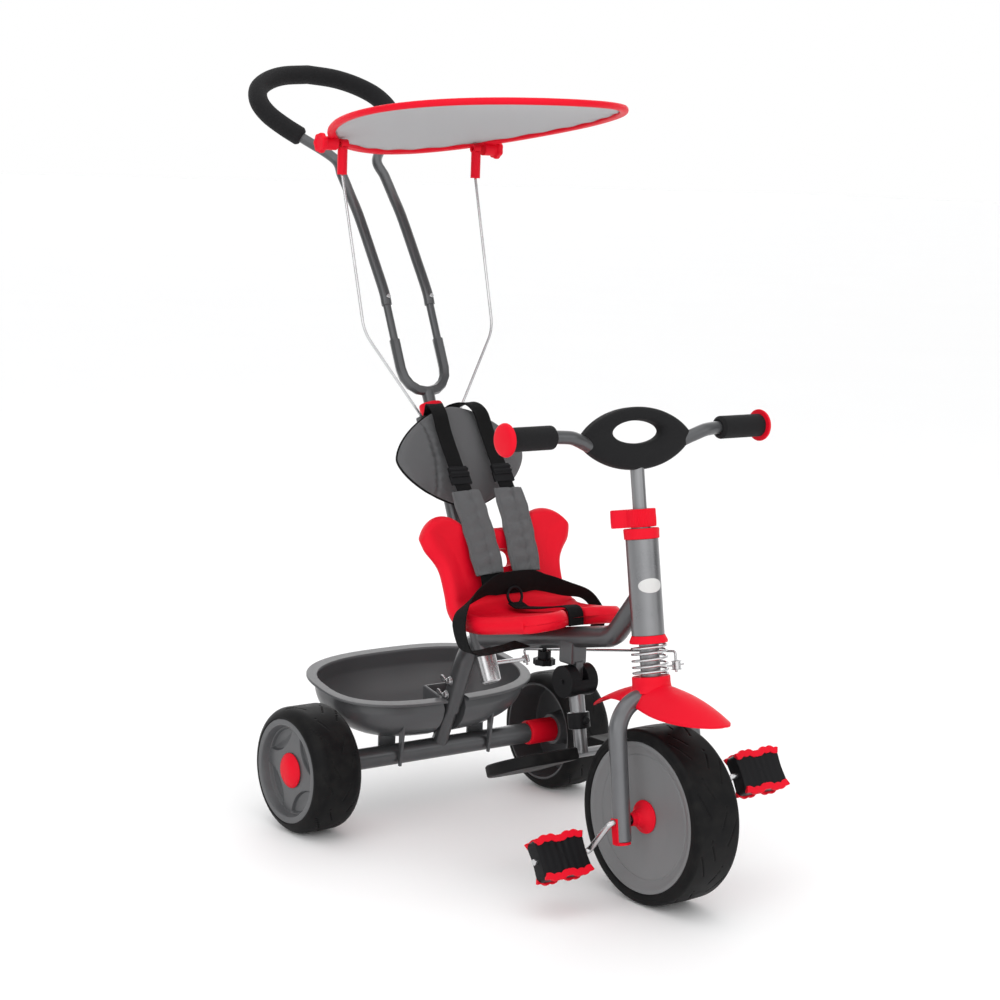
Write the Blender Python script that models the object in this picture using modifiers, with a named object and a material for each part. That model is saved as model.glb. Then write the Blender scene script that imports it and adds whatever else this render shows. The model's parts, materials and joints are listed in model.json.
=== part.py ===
"""Child's tricycle with a canopy, a five-point harness and a steering push bar.

Metres, +Z up, -Y forward, +X to the rider's left. Heights are above the floor. Lengths along Y are
written from the front axle, and the root empty then moves the whole object so that its box is centred
on the origin.
"""
import math

import bmesh
import bpy
import numpy as np
from mathutils import Matrix, Quaternion, Vector

GAP = 0.0003

# Front wheel
FRONT_RADIUS = 0.113
FRONT_HALF_WIDTH = 0.0365
FRONT_RIM_RADIUS = 0.097
FRONT_STEPS = 32
AXLE_ROD = 0.004
HUB_CONE_LARGE = 0.0214
HUB_CONE_SMALL = 0.010
HUB_FACE = 0.025
HUB_CONE_END = 0.042
BUSH_RADIUS = 0.0085
BUSH_END = 0.0505

# Crank and pedals
CRANK_RADIUS = 0.0486
CRANK_ANGLE = math.radians(-57.6)
CRANK_BEND_START = 0.083
CRANK_BEND_END = 0.0945
PEDAL_CENTRE = 0.141
PEDAL_WIDTH = 0.080
PEDAL_LENGTH = 0.050
PEDAL_THICKNESS = 0.024
PEDAL_SLOPE = math.radians(58.5)

# Steering axis
RAKE = math.radians(9.6)
LEG_RADIUS = 0.01165
LEG_TOP_X = 0.060
LEG_BOTTOM_X = 0.065
LEG_BOTTOM = -0.025
CROWN_HEIGHT = 0.150
CROWN_BEND = 0.045
STEERER_RADIUS = 0.0127
STEERER_BORE = 0.0095
STEERER_TOP = 0.388
PIN_HEIGHT = 0.185
PIN_RADIUS = 0.0012
FRONT_EYE_X = 0.044
FRONT_EYE_BORE = 0.0032
ROD_INWARD = 0.0006
ROD_RADIUS = 0.0019
FENDER_COLLAR_RADIUS = 0.0245
FENDER_COLLAR_TOP = 0.176
SPRING_RADIUS = 0.022
SPRING_WIRE = 0.0016
SPRING_TURNS = 5.25
LOWER_COLLAR_BOTTOM = 0.218
HEAD_BOTTOM = 0.2283
HEAD_TOP = 0.3503
HEAD_RADIUS = 0.021
HEAD_BORE = 0.019
HEAD_STEPS = 32
HEAD_CUP = 0.012
UPPER_COLLAR_TOP = 0.364
CLAMP_TOP = 0.3885

# Handlebar
STEM_RADIUS = 0.009
STEM_BOTTOM = 0.292
BAR_RADIUS = 0.0085
BAR_LOW = 0.457
GRIP_HEIGHT = 0.4853
GRIP_OFFSET = -0.006
GRIP_RADIUS = 0.015
GRIP_START = 0.137
GRIP_END = 0.209
CAP_RADIUS = 0.021
PAD_HALF_LENGTH = 0.0915
PAD_HALF_HEIGHT = 0.040
PAD_THICKNESS = 0.024
PAD_HOLE_HALF_LENGTH = 0.0405
PAD_HOLE_HALF_HEIGHT = 0.0145
PAD_HEIGHT = 0.4780
PAD_HOLE_UP = 0.0082

# Frame
SPINE_RADIUS = 0.01425
SPINE_BORE = 0.0126
STUB_RADIUS = 0.0119
SPINE_FRONT = (0.0590, 0.3790)
SPINE_TOP_CORNER = (0.104, 0.3235)
SPINE_REAR_CORNER = (0.412, 0.2596)
SPINE_END = (0.4591, 0.1491)
STUB_TOP = 0.045
STUB_BUTTON = 0.0030
STUB_BUTTON_UP = 0.022
BRACKET_SIDE = 0.027
BRACKET_Y = 0.187
REAR_AXLE_Y = 0.4846
REAR_RADIUS = 0.0875
BEAM_RADIUS = 0.01485
BEAM_BORE = 0.0132
BEAM_END = 0.160
SLEEVE_END = 0.2077

# Rear wheels
REAR_INNER = 0.182
REAR_OUTER = 0.258
REAR_RIM_RADIUS = 0.0724
REAR_STEPS = 24
HUB_CAP_RADIUS = 0.0244

# Sloping post and push bar
POST_Y = 0.3664
POST_Z = 0.218
POST_LEAN = math.radians(24.06)
POST_SLEEVE = 0.011
POST_SHAFT = 0.009
SOCKET_RADIUS = 0.016
SOCKET_BOTTOM = 0.035
POST_FOOT = 0.0145
SOCKET_TOP = 0.085
CUP_RADIUS = 0.014
CUP_BOTTOM = -0.011
CUP_TOP = 0.027
REAR_EYE_X = 0.068
REAR_EYE_UP = 0.016
COLLAR_BOTTOM = 0.3787
COLLAR_TOP = 0.3972
COLLAR_RADIUS = 0.0167
BAR_TUBE = 0.0075
BAR_INSERT = 0.0057
BAR_HALF_WIDTH = 0.0375
U_BOTTOM = 0.416
BAR_SEAM = 0.494
BUTTON_UP = 0.557
BAR_KNEE = 0.568
FOAM_RADIUS = 0.014
FOAM_BORE = 0.0081
FOAM_START_X = 0.0725
LOOP_REAR_Y = 0.873
LOOP_Y0 = 0.7439
LOOP_Z0 = 0.9285
LOOP_SLOPE = 0.9

# Basket
BASKET_HALF_WIDTH = 0.1764
BASKET_HALF_DEPTH = 0.0953
BASKET_POWER = 2.7
BASKET_Y = 0.5329
BASKET_RIM_Z = 0.1872
BASKET_TILT = 0.202
BASKET_BOTTOM = 0.107
BASKET_WALL = 0.003
BASKET_LIP = 0.012
NOTCH_HALF_WIDTH = 0.0185
NOTCH_BACK = 0.492
BASKET_LEG_X = 0.078

# Seat
SEAT_THICKNESS = 0.022
HEADREST_HALF_WIDTH = 0.1077
HEADREST_HALF_DEPTH = 0.0195
HEADREST_OFFSET = -0.0423
HEADREST_UP = 0.3048
KNOB_Y = 0.247
KNOB_ROD = 0.0030
KNOB_BOTTOM = 0.2575
KNOB_DISC = 0.008

# Harness
WEBBING = 0.025
WEBBING_THICK = 0.0018
BUCKLE_WIDTH = 0.033
SHOULDER_PAD_WIDTH = 0.050
SHOULDER_PAD_THICK = 0.007

# Canopy
CANOPY_Y = 0.4386
CANOPY_Z = 0.9898
CANOPY_HALF_WIDTH = 0.198
CANOPY_HALF_DEPTH = 0.2277
CANOPY_POWER = 1.89
CANOPY_TILT = -0.154
CANOPY_DROP_X = 0.0092
CANOPY_DROP_Y = 0.0222
RIM_WIDTH = 0.011
TILT_Y = 0.594
TILT_Z = 0.942
CONE_X = 0.1156
CONE_RADIUS = 0.007
CONE_BOTTOM = 0.8995
CONE_TOP = 0.9370
CANOPY_PIN = 0.0030
WIRE_RADIUS = 0.002

# Footrest
FOOT_Y = 0.180
FOOT_Z = 0.2496
FOOT_LEAN = math.radians(11.5)
FOOT_BOLT = 0.0030
FOOT_TUBE = 0.01025
FOOT_BORE = 0.0093
DRUM_RADIUS = 0.0215
DRUM_HALF_WIDTH = 0.022
TONGUE_HALF = 0.006
TONGUE_REACH = 0.0085
CROSS_DOWN = 0.0965
CROSS_RADIUS = 0.006

LEFT_RIGHT = ((1, "left"), (-1, "right"))
ACROSS = (0, math.pi / 2, 0)  # turns an axis from Z to +X
UPRIGHT = (math.pi / 2, 0, math.pi / 2)  # turns a flat outline's plane across X

ROOT_SHIFT = -(LOOP_REAR_Y + FOAM_RADIUS - FRONT_RADIUS) / 2


def clear_scene():
    for thing in list(bpy.data.objects):
        bpy.data.objects.remove(thing, do_unlink=True)


def new_collection(name):
    made = bpy.data.collections.new(name)
    bpy.context.scene.collection.children.link(made)
    return made


clear_scene()
PARTS = new_collection("tricycle")
CUTTERS = new_collection("cutters")


def paint(name, colour, roughness, metallic=0.0):
    made = bpy.data.materials.get(name)
    if made is None:
        made = bpy.data.materials.new(name)
        made.use_nodes = True
        shader = made.node_tree.nodes["Principled BSDF"]
        shader.inputs["Base Color"].default_value = (*colour, 1)
        shader.inputs["Roughness"].default_value = roughness
        shader.inputs["Metallic"].default_value = metallic
        made.diffuse_color = (*colour, 1)
    return made


def red_plastic():
    return paint("red_plastic", (0.80, 0.008, 0.03), 0.45)


def black_plastic():
    return paint("black_plastic", (0.012, 0.012, 0.013), 0.4)


def black_rubber():
    return paint("black_rubber", (0.01, 0.01, 0.01), 0.6)


def black_foam():
    return paint("black_foam", (0.01, 0.01, 0.01), 0.9)


def grey_disc():
    return paint("grey_disc", (0.21, 0.21, 0.21), 0.5)


def grey_plastic():
    return paint("grey_plastic", (0.085, 0.085, 0.085), 0.5)


def grey_paint():
    return paint("grey_paint", (0.08, 0.08, 0.08), 0.35, 0.3)


def silver_paint():
    return paint("silver_paint", (0.25, 0.25, 0.25), 0.3, 0.8)


def chrome():
    return paint("chrome", (0.6, 0.6, 0.6), 0.12, 1.0)


def grey_cloth():
    return paint("grey_cloth", (0.075, 0.075, 0.075), 0.9)


def canopy_cloth():
    return paint("canopy_cloth", (0.45, 0.45, 0.45), 0.9)


def black_webbing():
    return paint("black_webbing", (0.01, 0.01, 0.01), 0.85)


def empty(name, parent, at=(0, 0, 0), turn=0.0):
    made = bpy.data.objects.new(name, None)
    PARTS.objects.link(made)
    made.empty_display_size = 0.03
    made.parent = parent
    made.location = at
    made.rotation_euler = (turn, 0, 0)
    return made


ROOT = empty("root", None, (0, ROOT_SHIFT, 0))
STEER = empty("steering_axis", ROOT, (0, 0, FRONT_RADIUS), -RAKE)
WHEEL = empty("front_axle", STEER, (0, 0, 0), RAKE)
REAR = empty("rear_axle", ROOT, (0, REAR_AXLE_Y, REAR_RADIUS))
POST = empty("post_axis", ROOT, (0, POST_Y, POST_Z), -POST_LEAN)
FOOT = empty("foot_pivot", ROOT, (0, FOOT_Y, FOOT_Z), -FOOT_LEAN)
TILT = empty("canopy_pivot", ROOT, (0, TILT_Y, TILT_Z))


def into_post(x, y, z):
    """A point of the root frame in the post's frame."""
    away_y, away_z = y - POST_Y, z - POST_Z
    across = away_y * math.cos(POST_LEAN) - away_z * math.sin(POST_LEAN)
    along = away_y * math.sin(POST_LEAN) + away_z * math.cos(POST_LEAN)
    return x, across, along


def out_of_steer(x, across, along):
    """A point of the steering frame in the root frame."""
    y = across * math.cos(RAKE) + along * math.sin(RAKE)
    z = FRONT_RADIUS - across * math.sin(RAKE) + along * math.cos(RAKE)
    return x, y, z


def put(name, data, material=None, frame=None, at=(0, 0, 0), turn=(0, 0, 0), cutter=False):
    made = bpy.data.objects.new(name, data)
    (CUTTERS if cutter else PARTS).objects.link(made)
    made.parent = frame
    made.location = at
    made.rotation_euler = turn
    if cutter:
        made.hide_render = True
        made.display_type = "WIRE"
    else:
        data.materials.append(material)
    return made


def tool(data, frame=None, at=(0, 0, 0), turn=(0, 0, 0)):
    return put("tool", data, None, frame, at, turn, cutter=True)


def boolean(target, other, operation):
    made = target.modifiers.new(operation.lower(), "BOOLEAN")
    made.operation = operation
    made.solver = "EXACT"
    made.object = other


def cut(target, other):
    boolean(target, other, "DIFFERENCE")


def join(target, other):
    boolean(target, other, "UNION")


def smooth(mesh, degrees=35):
    mesh.shade_smooth()
    mesh.set_sharp_from_angle(angle=math.radians(degrees))
    return mesh


def from_bmesh(shape, name):
    mesh = bpy.data.meshes.new(name)
    shape.to_mesh(mesh)
    shape.free()
    return smooth(mesh)


def box(size, centre=(0, 0, 0), bevel=0.0, segments=2):
    shape = bmesh.new()
    bmesh.ops.create_cube(shape, size=1)
    bmesh.ops.scale(shape, vec=size, verts=shape.verts)
    bmesh.ops.translate(shape, vec=centre, verts=shape.verts)
    if bevel:
        bmesh.ops.bevel(
            shape, geom=shape.edges[:], offset=bevel, segments=segments, profile=0.5, affect="EDGES"
        )
    return from_bmesh(shape, "box")


def drum(radius, length, axis="Z", centre=(0, 0, 0), steps=16):
    shape = bmesh.new()
    turn = {"X": Matrix.Rotation(math.pi / 2, 4, "Y"), "Y": Matrix.Rotation(math.pi / 2, 4, "X")}
    half_step = Matrix.Rotation(math.pi / steps, 4, "Z")
    bmesh.ops.create_cone(
        shape,
        cap_ends=True,
        segments=steps,
        radius1=radius,
        radius2=radius,
        depth=length,
        matrix=Matrix.Translation(centre) @ turn.get(axis, Matrix.Identity(4)) @ half_step,
    )
    return from_bmesh(shape, "drum")


def profile_mesh(points, closed, start):
    """The profile (radius, height), top to bottom on its outer side, where the turning starts."""
    verts = [(r * math.cos(start), r * math.sin(start), h) for r, h in points]
    edges = [(i, i + 1) for i in range(len(points) - 1)]
    if closed:
        edges.append((len(points) - 1, 0))
    mesh = bpy.data.meshes.new("profile")
    mesh.from_pydata(verts, edges, [])
    return mesh


def turned(name, points, material, frame, steps=20, closed=True, at=(0, 0, 0), turn=(0, 0, 0)):
    start = math.pi / steps
    made = put(name, profile_mesh(points, closed, start), material, frame, at, turn)
    screw = made.modifiers.new("turn", "SCREW")
    screw.steps = steps
    screw.render_steps = steps
    screw.use_merge_vertices = True
    screw.merge_threshold = 1e-5
    screw.use_smooth_shade = True
    return made


def fillet(points, bends, steps=6):
    """The line through the points with its inner corners rounded, each to its own bend radius."""
    points = [Vector(p) for p in points]
    line = [points[0]]
    for before, corner, after, bend in zip(points, points[1:], points[2:], bends):
        back = (before - corner).normalized()
        ahead = (after - corner).normalized()
        half = back.angle(ahead) / 2
        reach = bend / math.tan(half)
        centre = corner + (back + ahead).normalized() * bend / math.sin(half)
        spoke, last = corner + back * reach - centre, corner + ahead * reach - centre
        axis = spoke.cross(last)
        for step in range(steps + 1):
            line.append(centre + Quaternion(axis, (math.pi - 2 * half) * step / steps) @ spoke)
    line.append(points[-1])
    return line


def through(points, steps=4):
    """A smooth line through the points, with a few steps between each two."""
    points = np.array(points, float)
    ends = np.vstack([2 * points[0] - points[1], points, 2 * points[-1] - points[-2]])
    line = []
    for a, b, c, d in zip(ends, ends[1:], ends[2:], ends[3:]):
        for t in np.arange(steps) / steps:
            line.append(
                b
                + (c - a) * t / 2
                + (a - 2.5 * b + 2 * c - d / 2) * t**2
                + (3 * b - a - 3 * c + d) * t**3 / 2
            )
    line.append(points[-1])
    return [Vector(p) for p in line]


def tube(points, radius, resolution=4):
    """A mesh of the bevelled line, with its caps welded on."""
    curve = bpy.data.curves.new("line", "CURVE")
    curve.dimensions = "3D"
    curve.bevel_depth = radius
    curve.bevel_resolution = resolution
    curve.use_fill_caps = True
    spline = curve.splines.new("POLY")
    spline.points.add(len(points) - 1)
    for place, point in zip(spline.points, points):
        place.co = (*point, 1)
    holder = bpy.data.objects.new("line", curve)
    CUTTERS.objects.link(holder)
    mesh = bpy.data.meshes.new_from_object(holder.evaluated_get(bpy.context.evaluated_depsgraph_get()))
    bpy.data.objects.remove(holder)
    shape = bmesh.new()
    shape.from_mesh(mesh)
    bmesh.ops.remove_doubles(shape, verts=shape.verts, dist=1e-6)
    bmesh.ops.recalc_face_normals(shape, faces=shape.faces)
    bpy.data.meshes.remove(mesh)
    return from_bmesh(shape, "tube")


def outline_plate(outlines, thickness, bevel=0.0):
    """A mesh of flat outlines, the inner ones holes, raised to both sides of their plane."""
    curve = bpy.data.curves.new("outline", "CURVE")
    curve.dimensions = "2D"
    curve.fill_mode = "BOTH"
    curve.extrude = thickness / 2 - bevel
    curve.bevel_depth = bevel
    curve.bevel_resolution = 0
    curve.offset = -bevel
    for outline in outlines:
        spline = curve.splines.new("POLY")
        spline.points.add(len(outline) - 1)
        spline.use_cyclic_u = True
        for place, (x, y) in zip(spline.points, outline):
            place.co = (x, y, 0, 1)
    holder = bpy.data.objects.new("outline", curve)
    CUTTERS.objects.link(holder)
    mesh = bpy.data.meshes.new_from_object(holder.evaluated_get(bpy.context.evaluated_depsgraph_get()))
    bpy.data.objects.remove(holder)
    shape = bmesh.new()
    shape.from_mesh(mesh)
    bmesh.ops.remove_doubles(shape, verts=shape.verts, dist=1e-6)
    bmesh.ops.recalc_face_normals(shape, faces=shape.faces)
    bpy.data.meshes.remove(mesh)
    return from_bmesh(shape, "plate")


def loft(rings, ends_meet=False, edge_caps=False):
    """A closed skin over rings. An edge cap runs from one edge of a flattened ring to the other."""
    rings = np.array(rings, float)
    count, around = rings.shape[:2]
    shape = bmesh.new()
    verts = [[shape.verts.new(p) for p in ring] for ring in rings]
    for i in range(count if ends_meet else count - 1):
        low, high = verts[i], verts[(i + 1) % count]
        for j in range(around):
            k = (j + 1) % around
            shape.faces.new((low[j], low[k], high[k], high[j]))
    for ring in () if ends_meet else (verts[0], verts[-1]):
        if not edge_caps:
            shape.faces.new(ring)
            continue
        for j in range(around // 2):
            strip = (ring[j], ring[j + 1], ring[(-j - 1) % around], ring[-j % around])
            shape.faces.new(list(dict.fromkeys(strip)))
    bmesh.ops.remove_doubles(shape, verts=shape.verts, dist=1e-7)
    bmesh.ops.recalc_face_normals(shape, faces=shape.faces)
    return from_bmesh(shape, "loft")


def super_ellipse(half_x, half_y, power, turns):
    c, s = np.cos(turns), np.sin(turns)
    return half_x * np.sign(c) * abs(c) ** (2 / power), half_y * np.sign(s) * abs(s) ** (2 / power)


# Front wheel


def tyre_profile(radius, inner, half_width, shoulder, steps):
    """The tread touches the floor with a facet, so its corners stand a little outside the radius."""
    tread = radius / math.cos(math.pi / steps)
    side = tread - shoulder
    half = [
        (inner + GAP, half_width),
        (side, half_width),
        (tread - 0.3 * shoulder, half_width - 0.3 * shoulder),
        (tread, half_width - shoulder),
    ]
    return half + [(r, -h) for r, h in reversed(half)]


def front_wheel():
    profile = tyre_profile(FRONT_RADIUS, FRONT_RIM_RADIUS, FRONT_HALF_WIDTH, 0.008, FRONT_STEPS)
    turned("front_tyre", profile, black_rubber(), WHEEL, FRONT_STEPS, turn=ACROSS)
    face = [
        (AXLE_ROD + GAP, HUB_FACE),
        (0.045, HUB_FACE),
        (0.081, 0.0290),
        (0.0945, 0.0350),
        (FRONT_RIM_RADIUS, 0.0350),
    ]
    turned(
        "front_rim", face + [(r, -h) for r, h in reversed(face)], grey_disc(), WHEEL, FRONT_STEPS, turn=ACROSS
    )
    for side, name in ((1, "hub_cone_left"), (-1, "hub_cone_right")):
        cone = [
            (AXLE_ROD + GAP, BUSH_END),
            (BUSH_RADIUS, BUSH_END),
            (BUSH_RADIUS, HUB_CONE_END),
            (HUB_CONE_SMALL, HUB_CONE_END),
            (0.0115, 0.036),
            (0.0165, 0.0295),
            (HUB_CONE_LARGE, 0.0275),
            (HUB_CONE_LARGE, HUB_FACE + GAP),
            (AXLE_ROD + GAP, HUB_FACE + GAP),
        ]
        turned(name, cone, red_plastic(), WHEEL, turn=(0, side * math.pi / 2, 0))


def crank_direction(side):
    """The right crank (-X) points down and back, the left one the other way."""
    return (-side * CRANK_RADIUS * math.cos(CRANK_ANGLE), -side * CRANK_RADIUS * math.sin(CRANK_ANGLE))


def crank():
    reach = PEDAL_CENTRE + PEDAL_WIDTH / 2 + 0.001
    right_y, right_z = crank_direction(-1)
    left_y, left_z = crank_direction(1)
    line = fillet(
        [
            (-reach, right_y, right_z),
            (-CRANK_BEND_END, right_y, right_z),
            (-CRANK_BEND_START, 0, 0),
            (CRANK_BEND_START, 0, 0),
            (CRANK_BEND_END, left_y, left_z),
            (reach, left_y, left_z),
        ],
        (0.0075,) * 4,
        3,
    )
    put("crankshaft", tube(line, AXLE_ROD, 3), chrome(), WHEEL)


def pedal(name, side):
    """A block with scalloped long edges, bored for its spindle."""
    scallops = 6
    scallop = 0.003
    step = PEDAL_WIDTH / scallops
    turns = np.linspace(0, math.pi, 5)[:-1]
    x = np.concatenate([-PEDAL_WIDTH / 2 + step * (i + 0.5 - 0.5 * np.cos(turns)) for i in range(scallops)])
    crown = 0.0005 * (1 - (2 * x / PEDAL_WIDTH) ** 2)
    y = PEDAL_LENGTH / 2 - scallop - crown[len(crown) // 2] + crown
    y += scallop * np.tile(np.sin(turns), scallops)
    outline = [*zip(x, y), (PEDAL_WIDTH / 2, y[0])]
    outline += [(-x, -y) for x, y in outline]
    y, z = crank_direction(side)
    frame = empty(name + "_spindle", WHEEL, (side * PEDAL_CENTRE, y, z), PEDAL_SLOPE)
    block = put(name, outline_plate([outline], PEDAL_THICKNESS), black_plastic(), frame)
    cut(block, tool(drum(AXLE_ROD + GAP, 2 * PEDAL_WIDTH, "X", steps=14), frame))


# Fork, fender, spring and handlebar


def leg_line():
    return fillet(
        [
            (-LEG_BOTTOM_X, 0, LEG_BOTTOM),
            (-LEG_TOP_X, 0, CROWN_HEIGHT),
            (LEG_TOP_X, 0, CROWN_HEIGHT),
            (LEG_BOTTOM_X, 0, LEG_BOTTOM),
        ],
        (CROWN_BEND, CROWN_BEND),
        5,
    )


def insert_mesh(side, gap, outer):
    """The red axle insert in the outer face of a leg, or with a gap the slot that it sits in."""
    inner = 0.0052 - gap
    size = (outer - inner, 0.011 + 2 * gap, 0.033 + 2 * gap)
    return box(size, (side * (LEG_BOTTOM_X + (outer + inner) / 2), 0, -0.0115))


def fork():
    made = put("fork", tube(leg_line(), LEG_RADIUS, 4), grey_paint(), STEER)
    foot = CROWN_HEIGHT + 0.003
    steerer = drum(STEERER_RADIUS, STEERER_TOP - foot, centre=(0, 0, (STEERER_TOP + foot) / 2))
    join(made, tool(steerer, STEER))
    pin_length = FRONT_EYE_X + 0.012 - STEERER_BORE
    pin = drum(PIN_RADIUS, pin_length, "X", (STEERER_BORE + pin_length / 2, 0, PIN_HEIGHT), 10)
    join(made, tool(pin, STEER))
    join(made, tool(drum(0.0055, 0.010, centre=(FRONT_EYE_X, 0, PIN_HEIGHT), steps=16), STEER))
    bore_bottom = CROWN_HEIGHT + 0.020
    bore = drum(STEERER_BORE, 0.300, centre=(0, 0, bore_bottom + 0.150))
    cut(made, tool(bore, STEER))
    cut(made, tool(drum(FRONT_EYE_BORE, 0.030, centre=(FRONT_EYE_X, 0, PIN_HEIGHT), steps=16), STEER))
    cut(made, tool(drum(AXLE_ROD + GAP, 0.200, "X", steps=16), STEER))
    for side, name in ((1, "fork_insert_left"), (-1, "fork_insert_right")):
        cut(made, tool(insert_mesh(side, GAP, LEG_RADIUS + 0.004), STEER))
        insert = put(name, insert_mesh(side, 0.0, LEG_RADIUS), red_plastic(), STEER)
        foot_place = (side * LEG_BOTTOM_X, 0, LEG_BOTTOM - 0.0025)
        foot = drum(LEG_RADIUS - 0.001, 0.0035, centre=foot_place, steps=20)
        join(insert, tool(foot, STEER))
        cut(insert, tool(drum(AXLE_ROD + GAP, 0.200, "X", steps=16), STEER))


def fender_ridge(y):
    """Height of the fender's ridge: highest above the fork crown, falling to the tips."""
    top_y, top_z = 0.004, 0.2795
    front, rear = -0.1108, 0.1394
    if y < top_y:
        return top_z - 0.0265 * ((top_y - y) / (top_y - front)) ** 2.2
    return top_z - 0.0525 * ((y - top_y) / (rear - top_y)) ** 1.7


def fender_half_width(y):
    widest, front, rear = -0.020, -0.1112, 0.1400
    if y < widest:
        return 0.040 * math.sqrt(max(0.0, 1 - ((widest - y) / (widest - front)) ** 2)) + 0.0004
    return 0.040 * (1 - ((y - widest) / (rear - widest)) ** 1.7) + 0.0004


def fender():
    """A leaf, arched across its width, with a collar on the steerer."""
    stations = -0.1110 + 0.2502 * (1 - np.cos(np.linspace(0, math.pi, 13))) / 2
    across = np.linspace(-1, 1, 7)
    rings = []
    for y in stations:
        half, top = fender_half_width(y), fender_ridge(y)
        upper = [(half * u, y, top - 17 * (half * u) ** 2) for u in across]
        lower = [(x, yy, z - 0.0028) for x, yy, z in reversed(upper)]
        rings.append(upper + lower)
    made = put("fender", loft(rings), red_plastic(), ROOT)
    collar_bottom = CROWN_HEIGHT + LEG_RADIUS + GAP
    middle = (FENDER_COLLAR_TOP + collar_bottom) / 2
    collar = drum(FENDER_COLLAR_RADIUS, FENDER_COLLAR_TOP - collar_bottom, centre=(0, 0, middle), steps=24)
    join(made, tool(collar, STEER))
    cut(made, tool(drum(STEERER_RADIUS + GAP, 0.100, centre=(0, 0, FENDER_COLLAR_TOP)), STEER))
    cut(made, tool(tube(leg_line(), LEG_RADIUS + 2 * GAP, 4), STEER))


def spring_line():
    """The coil, with a straight wire diameter at each end."""
    low = FENDER_COLLAR_TOP + SPRING_WIRE + GAP
    high = LOWER_COLLAR_BOTTOM - SPRING_WIRE - GAP
    pitch = (high - low) / SPRING_TURNS
    level = PIN_HEIGHT - 0.0004
    start = -2 * math.pi * ((level - pitch / 2 - low) / pitch)
    turns = start + np.linspace(0, 2 * math.pi * SPRING_TURNS, int(SPRING_TURNS * 12) + 1)
    rise = np.linspace(low, high, len(turns))
    coil = np.stack([SPRING_RADIUS * np.cos(turns), SPRING_RADIUS * np.sin(turns), rise], 1)
    first = coil[0] - 2 * SPRING_WIRE * np.array([-math.sin(turns[0]), math.cos(turns[0]), 0])
    last = coil[-1] + 2 * SPRING_WIRE * np.array([-math.sin(turns[-1]), math.cos(turns[-1]), 0])
    return np.vstack([first, coil, last])


def spring():
    line = spring_line()
    away = np.linalg.norm(line[:, None] - line[None], axis=2)
    apart = abs(np.arange(len(line))[:, None] - np.arange(len(line))[None]) > 6
    print(f"least gap between the spring's turns: {1000 * (away[apart].min() - 2 * SPRING_WIRE):.2f} mm")
    put("suspension_spring", tube(line, SPRING_WIRE, 2), chrome(), STEER)


def head_set():
    lower = [
        (HEAD_BORE - GAP, HEAD_BOTTOM + HEAD_CUP),
        (HEAD_BORE - GAP, HEAD_BOTTOM - GAP),
        (0.0215, HEAD_BOTTOM - GAP),
        (0.0245, LOWER_COLLAR_BOTTOM + 0.003),
        (0.0245, LOWER_COLLAR_BOTTOM),
        (STEERER_RADIUS + GAP, LOWER_COLLAR_BOTTOM),
        (STEERER_RADIUS + GAP, HEAD_BOTTOM + HEAD_CUP),
    ]
    turned("lower_collar", lower, red_plastic(), STEER)
    tube_wall = [
        (HEAD_BORE, HEAD_TOP),
        (HEAD_RADIUS, HEAD_TOP),
        (HEAD_RADIUS, HEAD_BOTTOM),
        (HEAD_BORE, HEAD_BOTTOM),
    ]
    turned("head_tube", tube_wall, silver_paint(), STEER, HEAD_STEPS)
    upper = [
        (STEERER_RADIUS + GAP, UPPER_COLLAR_TOP),
        (0.0222, UPPER_COLLAR_TOP),
        (0.0230, UPPER_COLLAR_TOP - 0.0015),
        (0.0225, HEAD_TOP + GAP),
        (HEAD_BORE - GAP, HEAD_TOP + GAP),
        (HEAD_BORE - GAP, HEAD_TOP - HEAD_CUP),
        (STEERER_RADIUS + GAP, HEAD_TOP - HEAD_CUP),
    ]
    turned("upper_collar", upper, red_plastic(), STEER)


def clamp():
    """A ring with a closed lever lobe towards the rear right."""
    radius, reach = 0.0195, 0.038
    towards = math.radians(135)
    outline = []
    for turn in np.linspace(0, 2 * math.pi, 28, endpoint=False):
        away = (turn - towards + math.pi) % (2 * math.pi) - math.pi
        swell = (reach - radius) * math.exp(-((away / 0.62) ** 2))
        outline.append(((radius + swell) * math.cos(turn), (radius + swell) * math.sin(turn)))
    height = CLAMP_TOP - UPPER_COLLAR_TOP - 0.0015
    made = put(
        "stem_clamp", outline_plate([outline], height), red_plastic(), STEER, (0, 0, CLAMP_TOP - height / 2)
    )
    cut(made, tool(drum(STEERER_RADIUS + GAP, 0.060, centre=(0, 0, CLAMP_TOP)), STEER))


def bar_line():
    half = [
        (0.040, 0.000, BAR_LOW),
        (0.062, -0.004, 0.4625),
        (0.091, -0.010, 0.4760),
        (0.112, -0.009, 0.4835),
        (0.133, GRIP_OFFSET - 0.0005, GRIP_HEIGHT),
        (0.142, GRIP_OFFSET, GRIP_HEIGHT),
        (0.170, GRIP_OFFSET, GRIP_HEIGHT),
        (GRIP_END - 0.001, GRIP_OFFSET, GRIP_HEIGHT),
    ]
    return through([(-x, y, z) for x, y, z in reversed(half)] + half, 2)


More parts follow.
